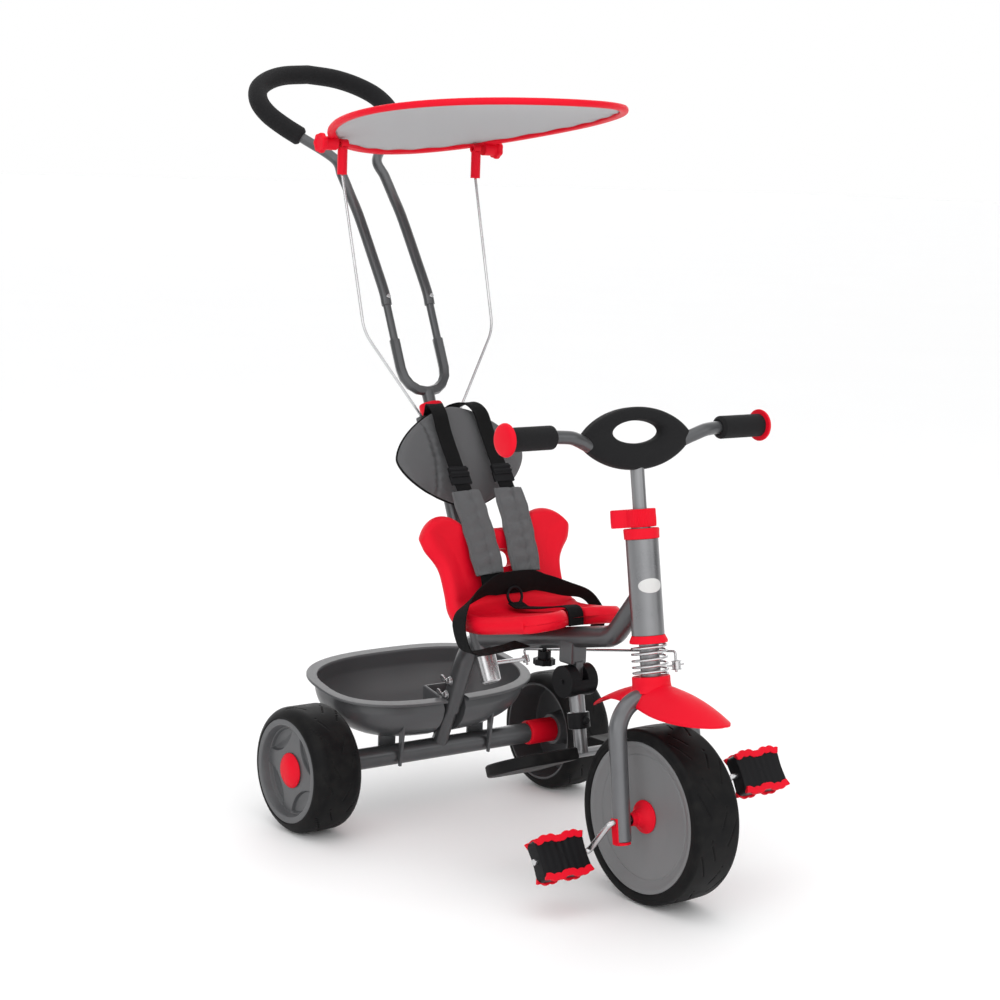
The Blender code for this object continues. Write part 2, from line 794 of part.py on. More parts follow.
def handlebar():
    made = put("handlebar", tube(bar_line(), BAR_RADIUS, 3), grey_paint(), STEER)
    stem = drum(STEM_RADIUS, BAR_LOW - STEM_BOTTOM, centre=(0, 0, (BAR_LOW + STEM_BOTTOM) / 2))
    join(made, tool(stem, STEER))
    for side, end in ((1, "left"), (-1, "right")):
        grip = [
            (BAR_RADIUS + 2 * GAP, GRIP_END),
            (GRIP_RADIUS, GRIP_END),
            (GRIP_RADIUS, GRIP_START + 0.004),
            (GRIP_RADIUS - 0.004, GRIP_START),
            (BAR_RADIUS + 2 * GAP, GRIP_START),
        ]
        place = (0, GRIP_OFFSET, GRIP_HEIGHT)
        turned("grip_" + end, grip, black_foam(), STEER, 20, at=place, turn=(0, side * math.pi / 2, 0))
        cap = [
            (0.0, 0.2165),
            (0.012, 0.2160),
            (0.0185, 0.2145),
            (CAP_RADIUS, 0.2125),
            (CAP_RADIUS, GRIP_END + GAP),
            (0.0, GRIP_END + GAP),
        ]
        turned("end_cap_" + end, cap, red_plastic(), STEER, 20, False, place, (0, side * math.pi / 2, 0))


def leaf(half_length, half_height, steps=22):
    """Two arcs that meet in blunt points."""
    turns = np.linspace(0, 2 * math.pi, steps, endpoint=False)
    x = half_length * np.cos(turns)
    y = half_height * np.sin(turns) * np.abs(np.sin(turns)) ** 0.45
    return list(zip(x, y))


def bar_pad():
    hole = [
        (PAD_HOLE_HALF_LENGTH * math.cos(a), PAD_HOLE_UP + PAD_HOLE_HALF_HEIGHT * math.sin(a))
        for a in np.linspace(0, 2 * math.pi, 16, endpoint=False)
    ]
    body = outline_plate([leaf(PAD_HALF_LENGTH, PAD_HALF_HEIGHT), hole], PAD_THICKNESS, 0.003)
    made = put("bar_pad", body, black_foam(), STEER, (0, 0, PAD_HEIGHT), (math.pi / 2, 0, 0))
    cut(made, tool(tube(bar_line(), BAR_RADIUS + 2 * GAP, 3), STEER))
    cut(made, tool(drum(STEM_RADIUS + GAP, 0.030, centre=(0, 0, BAR_LOW - 0.015)), STEER))


# Frame


def spine_line():
    return fillet(
        [(0, *SPINE_FRONT), (0, *SPINE_TOP_CORNER), (0, *SPINE_REAR_CORNER), (0, *SPINE_END)],
        (0.034, 0.060),
        4,
    )


def spine_height(y):
    """Height of the spine's centre line along its straight run."""
    (y0, z0), (y1, z1) = SPINE_TOP_CORNER, SPINE_REAR_CORNER
    return z0 + (z1 - z0) * (y - y0) / (y1 - y0)


def down_tube(distance):
    """A point of the down tube's line, so far above its lower end, relative to the rear axle."""
    away = Vector((0, *SPINE_REAR_CORNER)) - Vector((0, *SPINE_END))
    point = Vector((0, *SPINE_END)) + away.normalized() * distance
    return point - Vector((0, REAR_AXLE_Y, REAR_RADIUS))


def spine():
    """The bent main tube, with the socket for the post and the footrest bracket."""
    made = put("spine_tube", tube(spine_line(), SPINE_RADIUS, 4), grey_paint(), ROOT)
    low, high = FOOT_Z + DRUM_RADIUS + 2 * GAP, spine_height(BRACKET_Y) - 0.002
    side = (BRACKET_SIDE, BRACKET_SIDE, high - low)
    join(made, tool(box(side, (0, BRACKET_Y, (high + low) / 2), 0.003), ROOT))
    turns = np.linspace(0, -math.pi, 11)
    tongue = [(TONGUE_REACH * math.cos(a), TONGUE_REACH * math.sin(a)) for a in turns]
    tongue += [(-TONGUE_REACH, low - FOOT_Z + 0.004), (TONGUE_REACH, low - FOOT_Z + 0.004)]
    join(made, tool(outline_plate([tongue], 2 * TONGUE_HALF), ROOT, (0, FOOT_Y, FOOT_Z), UPRIGHT))
    cut(made, tool(drum(FOOT_BOLT + GAP, 0.050, "X", (0, FOOT_Y, FOOT_Z), 12), ROOT))
    socket_middle = (SOCKET_TOP + SOCKET_BOTTOM) / 2
    socket = drum(SOCKET_RADIUS, SOCKET_TOP - SOCKET_BOTTOM, centre=(0, 0, socket_middle), steps=24)
    join(made, tool(socket, POST))
    cut(made, tool(drum(POST_SLEEVE + GAP, 0.200, centre=(0, 0, SOCKET_TOP)), POST))
    cut(made, tool(drum(POST_FOOT + GAP, 0.040, centre=(0, 0, SOCKET_BOTTOM - 0.020), steps=24), POST))
    cut(made, tool(drum(HEAD_RADIUS + GAP, 0.300, centre=(0, 0, HEAD_TOP), steps=HEAD_STEPS), STEER))
    cut(made, tool(drum(KNOB_ROD + GAP, 0.060, centre=(0, KNOB_Y, spine_height(KNOB_Y)), steps=12), ROOT))
    button = down_tube(STUB_BUTTON_UP)
    cut(made, tool(drum(STUB_BUTTON + GAP, 0.010, "X", (-SPINE_RADIUS, button.y, button.z), 12), REAR))
    cut(made, tool(tube([down_tube(-0.020), down_tube(STUB_TOP + 0.003)], SPINE_BORE, 5), REAR))


def rear_axle():
    made = put("axle_beam", drum(BEAM_RADIUS, 2 * BEAM_END, "X", steps=24), grey_paint(), REAR)
    join(made, tool(tube([(0, 0, 0.002), down_tube(STUB_TOP)], STUB_RADIUS, 4), REAR))
    button = down_tube(STUB_BUTTON_UP)
    join(made, tool(drum(STUB_BUTTON, 0.008, "X", (-STUB_RADIUS, button.y, button.z), 12), REAR))
    cut(made, tool(drum(BEAM_BORE, 3 * BEAM_END, "X", steps=24), REAR))
    put("axle_shaft", drum(0.005, 2 * 0.2478, "X", steps=16), chrome(), REAR)


def pocket_outline():
    """A lens between the rim's ring and an arc that bulges towards the hub."""
    ring, arc, away = 0.0595, 0.048, 0.082
    half = math.acos((ring**2 + away**2 - arc**2) / (2 * ring * away))
    inner = math.asin(ring * math.sin(half) / arc)
    outer = [(ring * math.cos(a), ring * math.sin(a)) for a in np.linspace(-half, half, 6)]
    turns = np.linspace(math.pi - inner, math.pi + inner, 6)
    back = [(away + arc * math.cos(a), arc * math.sin(a)) for a in turns]
    return outer + back[1:-1]


def rear_wheels():
    centre = (REAR_INNER + REAR_OUTER) / 2
    tread = tyre_profile(REAR_RADIUS, REAR_RIM_RADIUS, (REAR_OUTER - REAR_INNER) / 2, 0.018, REAR_STEPS)
    face = 0.2480
    rim = [
        (0.005 + GAP, face),
        (0.060, face - 0.001),
        (0.0635, 0.2575),
        (REAR_RIM_RADIUS, 0.2575),
        (REAR_RIM_RADIUS, REAR_INNER + 0.001),
        (0.0690, REAR_INNER + 0.001),
        (0.0690, 0.2350),
        (0.0260, 0.2350),
        (0.0230, SLEEVE_END + GAP),
        (0.005 + GAP, SLEEVE_END + GAP),
    ]
    cap = [
        (0, 0.2575),
        (0.012, 0.2568),
        (0.020, 0.2535),
        (HUB_CAP_RADIUS, 0.2500),
        (HUB_CAP_RADIUS, face + GAP),
        (0, face + GAP),
    ]
    sleeve = [
        (0.005 + GAP, SLEEVE_END),
        (0.018, SLEEVE_END),
        (0.018, BEAM_END + 0.004),
        (0.0165, BEAM_END + GAP),
        (BEAM_BORE - GAP, BEAM_END + GAP),
        (BEAM_BORE - GAP, BEAM_END - 0.025),
        (0.005 + GAP, BEAM_END - 0.025),
    ]
    outward = (0, -math.pi / 2, 0)
    for side, end in LEFT_RIGHT:
        facing = (0, side * math.pi / 2, 0)
        place = (side * centre, 0, 0)
        turned("rear_tyre_" + end, tread, black_rubber(), REAR, REAR_STEPS, at=place, turn=outward)
        made = turned("rear_rim_" + end, rim, grey_plastic(), REAR, REAR_STEPS, turn=facing)
        for quarter in range(4):
            turn = (quarter + 0.15) * math.pi / 2
            pocket = tool(outline_plate([pocket_outline()], 0.012), REAR, (side * face, 0, 0))
            pocket.rotation_mode = "YXZ"
            pocket.rotation_euler = (turn, math.pi / 2, 0)
            cut(made, pocket)
        turned("hub_cap_" + end, cap, red_plastic(), REAR, 20, False, turn=facing)
        turned("axle_sleeve_" + end, sleeve, red_plastic(), REAR, 24, turn=facing)


# Basket


def basket_ring(scale_x, scale_y, height, wall=0.0, tilt=1.0):
    """One level of the basket: an oblong with a channel for the down tube at its front."""
    half_x = BASKET_HALF_WIDTH * scale_x - wall
    half_y = BASKET_HALF_DEPTH * scale_y - wall
    notch = NOTCH_HALF_WIDTH + wall
    first = math.acos((notch / half_x) ** (BASKET_POWER / 2))
    x, y = super_ellipse(half_x, half_y, BASKET_POWER, np.linspace(-first, math.pi + first, 27))
    back = max(NOTCH_BACK + wall - BASKET_Y, y[0] + 0.001)
    points = [(-notch, back), (notch, back), *zip(x, y)]
    points[2] = (notch, points[2][1])
    points[-1] = (-notch, points[-1][1])
    return [(px, BASKET_Y + py, height + tilt * BASKET_TILT * py) for px, py in points]


def basket_depth(share):
    """Width scale at a share of the basket's depth: steep below the rim, round at the bottom."""
    return 0.30 + 0.63 * (1 - share**2.4) ** (1 / 1.9)


def basket():
    under_lip = BASKET_RIM_Z - 0.004
    depth = under_lip - BASKET_BOTTOM
    shares = (1.0, 0.94, 0.78, 0.5, 0.2)
    scales = [basket_depth(s) for s in shares]
    tilts = [1 - 0.9 * s for s in shares]
    outer = [basket_ring(k, k, under_lip - depth * s, 0, t) for s, k, t in zip(shares, scales, tilts)]
    lip_x = 1 - BASKET_LIP / BASKET_HALF_WIDTH
    lip_y = 1 - BASKET_LIP / BASKET_HALF_DEPTH
    outer += [
        basket_ring(lip_x, lip_y, under_lip),
        basket_ring(1.0, 1.0, under_lip),
        basket_ring(1.0, 1.0, BASKET_RIM_Z - 0.0005),
        basket_ring(0.985, 0.97, BASKET_RIM_Z),
    ]
    made = put("basket", loft(outer), grey_plastic(), ROOT)
    for side in (1, -1):
        x = side * BASKET_LEG_X
        front = REAR_AXLE_Y - BEAM_RADIUS - GAP
        leg = [(front, 0.150), (front, 0.074), (front - 0.004, 0.074), (front - 0.014, 0.150)]
        fin = loft([[(x - 0.002, y, z) for y, z in leg], [(x + 0.002, y, z) for y, z in leg]])
        join(made, tool(fin, ROOT))
        plate_y = REAR_AXLE_Y + BEAM_RADIUS + GAP + 0.002
        join(made, tool(box((0.028, 0.004, 0.060), (x, plate_y, 0.102)), ROOT))
    levels = [under_lip - depth * s for s in shares]
    levels[0] += BASKET_WALL
    inner = [basket_ring(k, k, z, BASKET_WALL, t) for z, k, t in zip(levels, scales, tilts)]
    inner += [
        basket_ring(lip_x, lip_y, under_lip, BASKET_WALL),
        basket_ring(lip_x, lip_y, BASKET_RIM_Z + 0.020, BASKET_WALL),
    ]
    cut(made, tool(loft(inner), ROOT))


# Seat and headrest


def seat_profile():
    """The seat's middle line, from the front edge along the spine and up the back."""
    above = SPINE_RADIUS + SEAT_THICKNESS / 2 + 0.0012
    base = [(y, spine_height(y) + above) for y in (0.163, 0.200, 0.240, 0.280)]
    back = [
        (0.312, 0.3115),
        (0.3325, 0.3225),
        (0.3435, 0.3400),
        (0.3520, 0.3600),
        (0.3600, 0.3820),
        (0.3690, 0.4060),
        (0.3840, 0.4440),
    ]
    return np.array(base + back)


def seat_edge_front(u):
    """Where the front edge lies: two round lobes with a gap for the crotch strap."""
    away = np.clip((abs(u) - 0.046) / 0.0345, -1, 1)
    return 0.038 * (1 - np.sqrt(1 - away**2))


def seat_edge_top(u):
    """Height of the top edge: two round lobes and a lower bar between them."""
    away = np.clip((abs(u) - 0.085) / 0.0435, -1, 1)
    lobe = 0.402 + 0.042 * np.sqrt(1 - away**2)
    return np.maximum(lobe, np.where(abs(u) < 0.085, 0.4235, 0))


def seat_rings(stations=16, around=20):
    profile = seat_profile()
    lengths = np.r_[0, np.cumsum(np.linalg.norm(np.diff(profile, axis=0), axis=1))]
    widths_at = [0, 0.10, 0.28, 0.48, 0.62, 0.74, 0.88, 1.0]
    widths = [0.0805, 0.090, 0.104, 0.105, 0.099, 0.101, 0.121, 0.1275]
    turns = np.linspace(0, 2 * math.pi, around, endpoint=False)
    across, through_slab = super_ellipse(1.0, 1.0, 3.0, turns)
    rings = []
    for s in (1 - np.cos(np.linspace(0, math.pi, stations))) / 2:
        half = np.interp(s, widths_at, widths)
        front = seat_edge_front(across * widths[0])
        top = np.interp(seat_edge_top(across * widths[-1]), profile[4:, 1], lengths[4:])
        along = front + (top - front) * s
        y, z = np.interp(along, lengths, profile[:, 0]), np.interp(along, lengths, profile[:, 1])
        ahead, behind = np.minimum(along + 0.012, lengths[-1]), np.maximum(along - 0.012, 0)
        dy = np.interp(ahead, lengths, profile[:, 0]) - np.interp(behind, lengths, profile[:, 0])
        dz = np.interp(ahead, lengths, profile[:, 1]) - np.interp(behind, lengths, profile[:, 1])
        size = np.hypot(dy, dz)
        normal_y, normal_z = -dz / size, dy / size
        end = min(s, 1 - s) * 16
        thick = SEAT_THICKNESS / 2 * (0.35 + 0.65 * math.sqrt(1 - max(0.0, 1 - end) ** 2))
        base = np.clip(1 - along / 0.150, 0, 1)
        lift = -0.016 * abs(across) ** 2.4 * np.sqrt(base) + 0.009 * abs(across) ** 2.0 * (1 - base)
        off = thick * through_slab + lift
        rings.append(np.stack([half * across, y + normal_y * off, z + normal_z * off], 1))
    return rings


def seat():
    made = put("seat_shell", loft(seat_rings(), edge_caps=True), red_plastic(), ROOT)
    hole = box((0.050, 0.080, 0.026), bevel=0.008)
    cut(made, tool(hole, ROOT, (0, 0.360, 0.3835), (-0.35, 0, 0)))
    cut(made, tool(tube(spine_line(), SPINE_RADIUS + GAP, 4), ROOT))
    rod_top = spine_height(KNOB_Y) + SPINE_RADIUS + 0.009
    cut(made, tool(drum(KNOB_ROD + GAP, 0.040, centre=(0, KNOB_Y, rod_top - 0.0195), steps=12), ROOT))
    knob_top = spine_height(KNOB_Y) - SPINE_RADIUS - 0.003
    turns = np.linspace(0, 2 * math.pi, 32, endpoint=False)
    reach = 0.0142 + 0.0010 * np.cos(8 * turns)
    disc = outline_plate([list(zip(reach * np.cos(turns), reach * np.sin(turns)))], KNOB_DISC)
    knob = put("seat_knob", disc, black_plastic(), ROOT, (0, KNOB_Y, KNOB_BOTTOM + KNOB_DISC / 2))
    boss_bottom = KNOB_BOTTOM + KNOB_DISC / 2
    boss = drum(0.009, knob_top - boss_bottom, centre=(0, KNOB_Y, (knob_top + boss_bottom) / 2), steps=16)
    join(knob, tool(boss, ROOT))
    rod = drum(KNOB_ROD, rod_top - boss_bottom, centre=(0, KNOB_Y, (rod_top + boss_bottom) / 2), steps=12)
    join(knob, tool(rod, ROOT))


def headrest():
    """A cushion with a blunt diamond outline, crowned on both faces."""
    turns = np.linspace(0, 2 * math.pi, 24, endpoint=False)
    x, up = super_ellipse(HEADREST_HALF_WIDTH, 0.0728, 1.55, turns)
    rings = []
    for tilt in np.radians([-90, -60, -25, 25, 60, 90]):
        share = max(0.004, math.cos(tilt)) ** 0.5
        depth = HEADREST_OFFSET - HEADREST_HALF_DEPTH * math.sin(tilt)
        rings.append([(a * share, depth, HEADREST_UP + b * share) for a, b in zip(x, up)])
    put("headrest", loft(rings), grey_cloth(), POST)


# Harness


def ribbon(stations):
    """A flat strip: each station has its middle, the direction of its width, its width and its thickness."""
    middles = [Vector(s[0]) for s in stations]
    rings = []
    for i, (middle, wide, width, thick) in enumerate(stations):
        ahead = middles[min(i + 1, len(middles) - 1)] - middles[max(i - 1, 0)]
        wide = Vector(wide)
        wide = (wide - ahead * wide.dot(ahead) / ahead.length_squared).normalized() * width / 2
        normal = wide.cross(ahead).normalized() * thick / 2
        middle = middles[i]
        upper = [middle + wide + normal, middle - wide + normal]
        rings.append(upper + [middle - wide - normal, middle + wide - normal])
    return loft(rings)


def shoulder_strap(name, side):
    """From the post over the headrest, through its buckle and down as a padded strap to the lap belt."""
    strap = (WEBBING, WEBBING_THICK)
    buckle = (BUCKLE_WIDTH, 0.007)
    pad = (SHOULDER_PAD_WIDTH, SHOULDER_PAD_THICK)
    path = [
        (0.0137, -0.0140, 0.3765, strap),
        (0.0190, -0.0300, 0.3830, strap),
        (0.0300, -0.0500, 0.3805, strap),
        (0.0350, -0.0635, 0.3640, strap),
        (0.0365, -0.0670, 0.3350, strap),
        (0.0365, -0.0730, 0.3000, strap),
        (0.0367, -0.0770, 0.2810, strap),
        (0.0367, -0.0772, 0.2800, buckle),
        (0.0368, -0.0820, 0.2560, buckle),
        (0.0368, -0.0822, 0.2550, strap),
        (0.0367, -0.0850, 0.2460, strap),
        (0.0366, -0.0852, 0.2450, pad),
        (0.0350, -0.0905, 0.2050, pad),
        (0.0330, -0.0925, 0.1650, pad),
        (0.0312, -0.0925, 0.1240, pad),
        (0.0310, -0.0924, 0.1230, (0.040, WEBBING_THICK)),
        (0.0300, -0.0900, 0.1075, (0.034, WEBBING_THICK)),
    ]
    stations = [((side * x, across, up), (1, 0, 0), *size) for x, across, up, size in path]
    put(name, ribbon(stations), black_webbing(), POST)


def hoop(radius, wire, around=16, section=6):
    turns = np.linspace(0, 2 * math.pi, around, endpoint=False)[:, None]
    slope = np.linspace(0, 2 * math.pi, section, endpoint=False)[None]
    reach = radius + wire * np.cos(slope)
    rise = wire * np.sin(slope) + 0 * turns
    return loft(np.stack([reach * np.cos(turns), reach * np.sin(turns), rise], 2), ends_meet=True)


def harness_belt():
    """The lap belt round the seat, the ring and the crotch strap that runs forward to the front gap."""
    half = [
        (0.026, 0.3205, 0.3570, (0, -0.35, 0.94), 0.036),
        (0.050, 0.3170, 0.3530, (0, -0.45, 0.90), 0.028),
        (0.080, 0.3070, 0.3440, (0, -0.65, 0.76), 0.025),
        (0.104, 0.2930, 0.3370, (0, -0.90, 0.43), 0.025),
        (0.117, 0.2840, 0.3210, (0, -1, 0.1), 0.025),
        (0.118, 0.2790, 0.3030, (0, -1, 0), 0.025),
        (0.112, 0.2750, 0.2850, (0, -1, 0), 0.025),
        (0.097, 0.2730, 0.2775, (0, -1, 0), 0.025),
        (0.060, 0.2700, 0.2800, (0, -1, 0), 0.025),
        (0.022, 0.2680, 0.2840, (0, -1, 0), 0.025),
    ]
    stations = [((-x, y, z), wide, width, WEBBING_THICK) for x, y, z, wide, width in reversed(half)]
    stations += [((x, y, z), wide, width, WEBBING_THICK) for x, y, z, wide, width in half]
    belt = put("harness_belt", ribbon(stations), black_webbing(), ROOT)
    join(belt, tool(hoop(0.012, 0.002), ROOT, (0, 0.3165, 0.3395), (1.297, 0, 0)))
    crotch = [
        (0.3150, 0.3300),
        (0.3080, 0.3280),
        (0.3000, 0.3262),
        (0.2900, 0.3275),
        (0.2500, 0.3345),
        (0.2150, 0.3430),
        (0.1950, 0.3465),
        (0.1860, 0.3420),
        (0.1830, 0.3330),
        (0.1825, 0.3230),
    ]
    strip = ribbon([((0, y, z), (1, 0, 0), WEBBING, WEBBING_THICK) for y, z in crotch])
    join(belt, tool(strip, ROOT))


# Canopy


def canopy_height(x, y):
    away = y - CANOPY_Y
    drop = CANOPY_DROP_X * (x / CANOPY_HALF_WIDTH) ** 2 + CANOPY_DROP_Y * (away / CANOPY_HALF_DEPTH) ** 2
    return CANOPY_Z + CANOPY_TILT * away - drop


def canopy_ring(inset, rise, scale=1.0, around=32):
    turns = np.linspace(0, 2 * math.pi, around, endpoint=False)
    x, away = super_ellipse(CANOPY_HALF_WIDTH - inset, CANOPY_HALF_DEPTH - inset, CANOPY_POWER, turns)
    x, y = x * scale, CANOPY_Y + away * scale
    return np.stack([x, y - TILT_Y, canopy_height(x, y) + rise - TILT_Z], 1)


def canopy():
    section = [
        (0.002, 0.0045),
        (0.0, 0.0),
        (0.002, -0.0045),
        (RIM_WIDTH, -0.004),
        (RIM_WIDTH, 0.004),
    ]
    rings = np.array([canopy_ring(inset, rise) for inset, rise in section]).transpose(1, 0, 2)
    rim = put("canopy_rim", loft(rings, ends_meet=True), red_plastic(), TILT)
    inset, half_thick = RIM_WIDTH + GAP, 0.0006
    sheet_rings = [canopy_ring(inset, -half_thick, s) for s in (0.02, 0.5, 1.0)]
    sheet_rings += [canopy_ring(inset, half_thick, s) for s in (1.0, 0.5, 0.02)]
    sheet = put("canopy_sheet", loft(sheet_rings), canopy_cloth(), TILT)
    for side, end in LEFT_RIGHT:
        lug_in, lug_out = 0.1275, 0.1480
        join(rim, tool(drum(0.0095, lug_out - lug_in, "X", (side * (lug_in + lug_out) / 2, 0, 0)), TILT))
        join(rim, tool(drum(0.0125, 0.008, "X", (side * (lug_out + 0.0035), 0, 0)), TILT))
        join(rim, tool(drum(CANOPY_PIN, 0.022, "X", (side * (lug_in - 0.0105), 0, 0), 12), TILT))
        cut(sheet, tool(drum(0.0135, 0.080, "X", (side * (lug_out - 0.018), 0, 0)), TILT))
        foot = (side * CONE_X, TILT_Y, 0)
        stalk = tube([(0, 0, CONE_BOTTOM), (0, 0, CONE_TOP)], CONE_RADIUS, 3)
        cone = put("canopy_bracket_" + end, stalk, red_plastic(), ROOT, foot)
        join(cone, tool(drum(0.0065, 0.0110, "X", (side * (0.1145 - CONE_X), 0, TILT_Z)), ROOT, foot))
        cut(cone, tool(drum(CANOPY_PIN + GAP, 0.060, "X", (0, 0, TILT_Z), 12), ROOT, foot))
        wire = wire_line(side)
        cut(cone, tool(tube(wire, WIRE_RADIUS + GAP, 3), ROOT))
        put("canopy_wire_" + end, tube(wire, WIRE_RADIUS, 2), chrome(), ROOT)


def wire_line(side):
    """From its hole in the holder, up and out, then straight up into the cone post."""
    low, knee = Vector((0.0316, 0.5041, 0.5660)), Vector((0.1116, 0.5351, 0.6843))
    top = Vector((CONE_X, TILT_Y, 0.9009))
    start = low - (knee - low).normalized() * 0.012
    end = top + (top - knee).normalized() * 0.022
    return [Vector((side * p.x, p.y, p.z)) for p in fillet([start, knee, end], (0.060,), 5)]


# Post and push bar


def post():
    outside = [
        (0, COLLAR_BOTTOM + 0.006),
        (POST_SLEEVE, COLLAR_BOTTOM + 0.006),
        (POST_SLEEVE, SOCKET_BOTTOM - GAP),
        (POST_FOOT, SOCKET_BOTTOM - GAP),
        (POST_FOOT, CUP_TOP + GAP),
        (0, CUP_TOP + GAP),
    ]
    made = turned("post_sleeve", outside, grey_paint(), POST, 24, False)
    join(made, tool(box((0.076, 0.0127, 0.040), (0, -0.0158, 0.3540), 0.002), POST))
    front = HEADREST_OFFSET + HEADREST_HALF_DEPTH + GAP
    rest = box((0.030, -front - 0.008, 0.030), (0, (front - 0.008) / 2, HEADREST_UP))
    join(made, tool(rest, POST))
    cut(made, tool(drum(POST_SHAFT + GAP, 0.500, centre=(0, 0, 0.250), steps=24), POST))
    for side in (1, -1):
        cut(made, tool(tube(wire_line(side), WIRE_RADIUS + GAP, 3), ROOT))
    collar = [
        (POST_SHAFT + GAP, COLLAR_TOP),
        (COLLAR_RADIUS - 0.001, COLLAR_TOP),
        (COLLAR_RADIUS, COLLAR_TOP - 0.002),
        (COLLAR_RADIUS, COLLAR_BOTTOM),
        (POST_SLEEVE + GAP, COLLAR_BOTTOM),
        (POST_SLEEVE + GAP, COLLAR_BOTTOM + 0.006 + GAP),
        (POST_SHAFT + GAP, COLLAR_BOTTOM + 0.006 + GAP),
    ]
    turned("post_collar", collar, red_plastic(), POST, 24)


def steering_arm():
    floor = CUP_BOTTOM + 0.005
    cup = [
        (0, floor),
        (POST_SHAFT + GAP, floor),
        (POST_SHAFT + GAP, CUP_TOP),
        (CUP_RADIUS, CUP_TOP),
        (CUP_RADIUS, CUP_BOTTOM + 0.002),
        (CUP_RADIUS - 0.002, CUP_BOTTOM),
        (0, CUP_BOTTOM),
    ]
    made = turned("steering_arm", cup, chrome(), POST, 24, False)
    inner, outer = CUP_RADIUS - 0.003, REAR_EYE_X - 0.004
    join(made, tool(drum(0.003, outer - inner, "X", ((outer + inner) / 2, 0, REAR_EYE_UP), 12), POST))
    join(made, tool(drum(0.0050, 0.010, centre=(REAR_EYE_X, 0, REAR_EYE_UP), steps=16), POST))
    cut(made, tool(drum(ROD_RADIUS + 2 * GAP, 0.030, centre=(REAR_EYE_X, 0, REAR_EYE_UP), steps=16), POST))


def link_rod():
    """Bent down into both eyes; its own axis is the rear eye's."""
    frame = empty("rod_hinge", POST, (REAR_EYE_X, 0, REAR_EYE_UP))
    front_top = out_of_steer(FRONT_EYE_X - ROD_INWARD, 0, PIN_HEIGHT + 0.018)
    front_end = out_of_steer(FRONT_EYE_X - ROD_INWARD, 0, PIN_HEIGHT - 0.009)
    points = [
        (REAR_EYE_X, 0, REAR_EYE_UP - 0.009),
        (REAR_EYE_X, 0, REAR_EYE_UP + 0.014),
        into_post(*front_top),
        into_post(*front_end),
    ]
    offset = Vector((REAR_EYE_X, 0, REAR_EYE_UP))
    line = [p - offset for p in fillet(points, (0.004, 0.004), 4)]
    put("link_rod", tube(line, ROD_RADIUS, 2), chrome(), frame)


def push_bar_lower():
    """Shaft, U and the two thinner ends inside the upper bar."""
    half, seam = BAR_HALF_WIDTH, BAR_SEAM - GAP / 2
    corners = [(-half, 0, seam), (-half, 0, U_BOTTOM), (half, 0, U_BOTTOM), (half, 0, seam)]
    line = fillet(corners, (0.034, 0.034), 4)
    made = put("push_bar_lower", tube(line, BAR_TUBE, 2), grey_paint(), POST)
    bottom = CUP_BOTTOM + 0.005 + GAP
    shaft = drum(POST_SHAFT, U_BOTTOM - bottom, centre=(0, 0, (U_BOTTOM + bottom) / 2), steps=24)
    join(made, tool(shaft, POST))
    for side in (1, -1):
        end, start = BUTTON_UP + 0.009, BAR_SEAM - 0.020
        insert = drum(BAR_INSERT, end - start, centre=(side * half, 0, (end + start) / 2), steps=16)
        join(made, tool(insert, POST))
        hole = drum(0.0035, 0.0140, "Y", (side * half, -0.0034, BUTTON_UP), 14)
        cut(made, tool(hole, POST))


def bar_path():
    """The upper bar's left half in the post's frame, from its seam to the middle of the loop."""
    legs = [(0.6253, 0.7785), (0.6651, 0.8377), (0.6907, 0.8695), (0.7137, 0.8974)]
    loop = [
        (0.0375, 0.735),
        (0.074, 0.767),
        (0.093, 0.783),
        (0.109, 0.801),
        (0.1145, 0.819),
        (0.109, 0.836),
        (0.096, 0.849),
        (0.072, 0.861),
        (0.042, 0.869),
        (0.0, LOOP_REAR_Y),
    ]
    half = [(BAR_HALF_WIDTH, 0, BAR_SEAM + 0.052), (BAR_HALF_WIDTH, 0, BAR_KNEE)]
    half += [into_post(BAR_HALF_WIDTH, y, z) for y, z in legs]
    half += [into_post(x, y, LOOP_Z0 + LOOP_SLOPE * (y - LOOP_Y0)) for x, y in loop]
    return half


def mirrored(half):
    """The whole line from its left half, which ends in the middle."""
    return half[:-1] + [(-x, y, z) for x, y, z in reversed(half)]


def push_bar_upper():
    path = [Vector(p) for p in mirrored(bar_path())]
    seam = BAR_SEAM + GAP / 2
    line = [(BAR_HALF_WIDTH, 0, seam), *path, (-BAR_HALF_WIDTH, 0, seam)]
    made = put("push_bar_upper", tube(line, BAR_TUBE, 2), grey_paint(), POST)
    for side, end in LEFT_RIGHT:
        middle = (side * BAR_HALF_WIDTH, 0, BUTTON_UP + 0.0105 - 0.050)
        cut(made, tool(drum(BAR_INSERT + GAP, 0.100, centre=middle, steps=16), POST))
        cut(made, tool(drum(0.0035, 0.010, "Y", (side * BAR_HALF_WIDTH, -BAR_TUBE, BUTTON_UP), 14), POST))
        button = drum(0.0032, 0.0105, "Y", (side * BAR_HALF_WIDTH, -0.0047, BUTTON_UP), 14)
        put("snap_button_" + end, button, chrome(), POST)
    first = next(i for i, p in enumerate(path) if p.x > FOAM_START_X)
    foam = path[first : len(path) - first]
    made = put("foam_grip", tube(foam, FOAM_RADIUS, 3), black_foam(), POST)
    cut(made, tool(tube(path[first - 1 : len(path) - first + 1], FOAM_BORE, 3), POST))


# Footrest


def into_foot(x, y, z):
    """A point of the root frame in the footrest's frame."""
    away_y, away_z = y - FOOT_Y, z - FOOT_Z
    across = away_y * math.cos(FOOT_LEAN) - away_z * math.sin(FOOT_LEAN)
    along = away_y * math.sin(FOOT_LEAN) + away_z * math.cos(FOOT_LEAN)
    return x, across, along


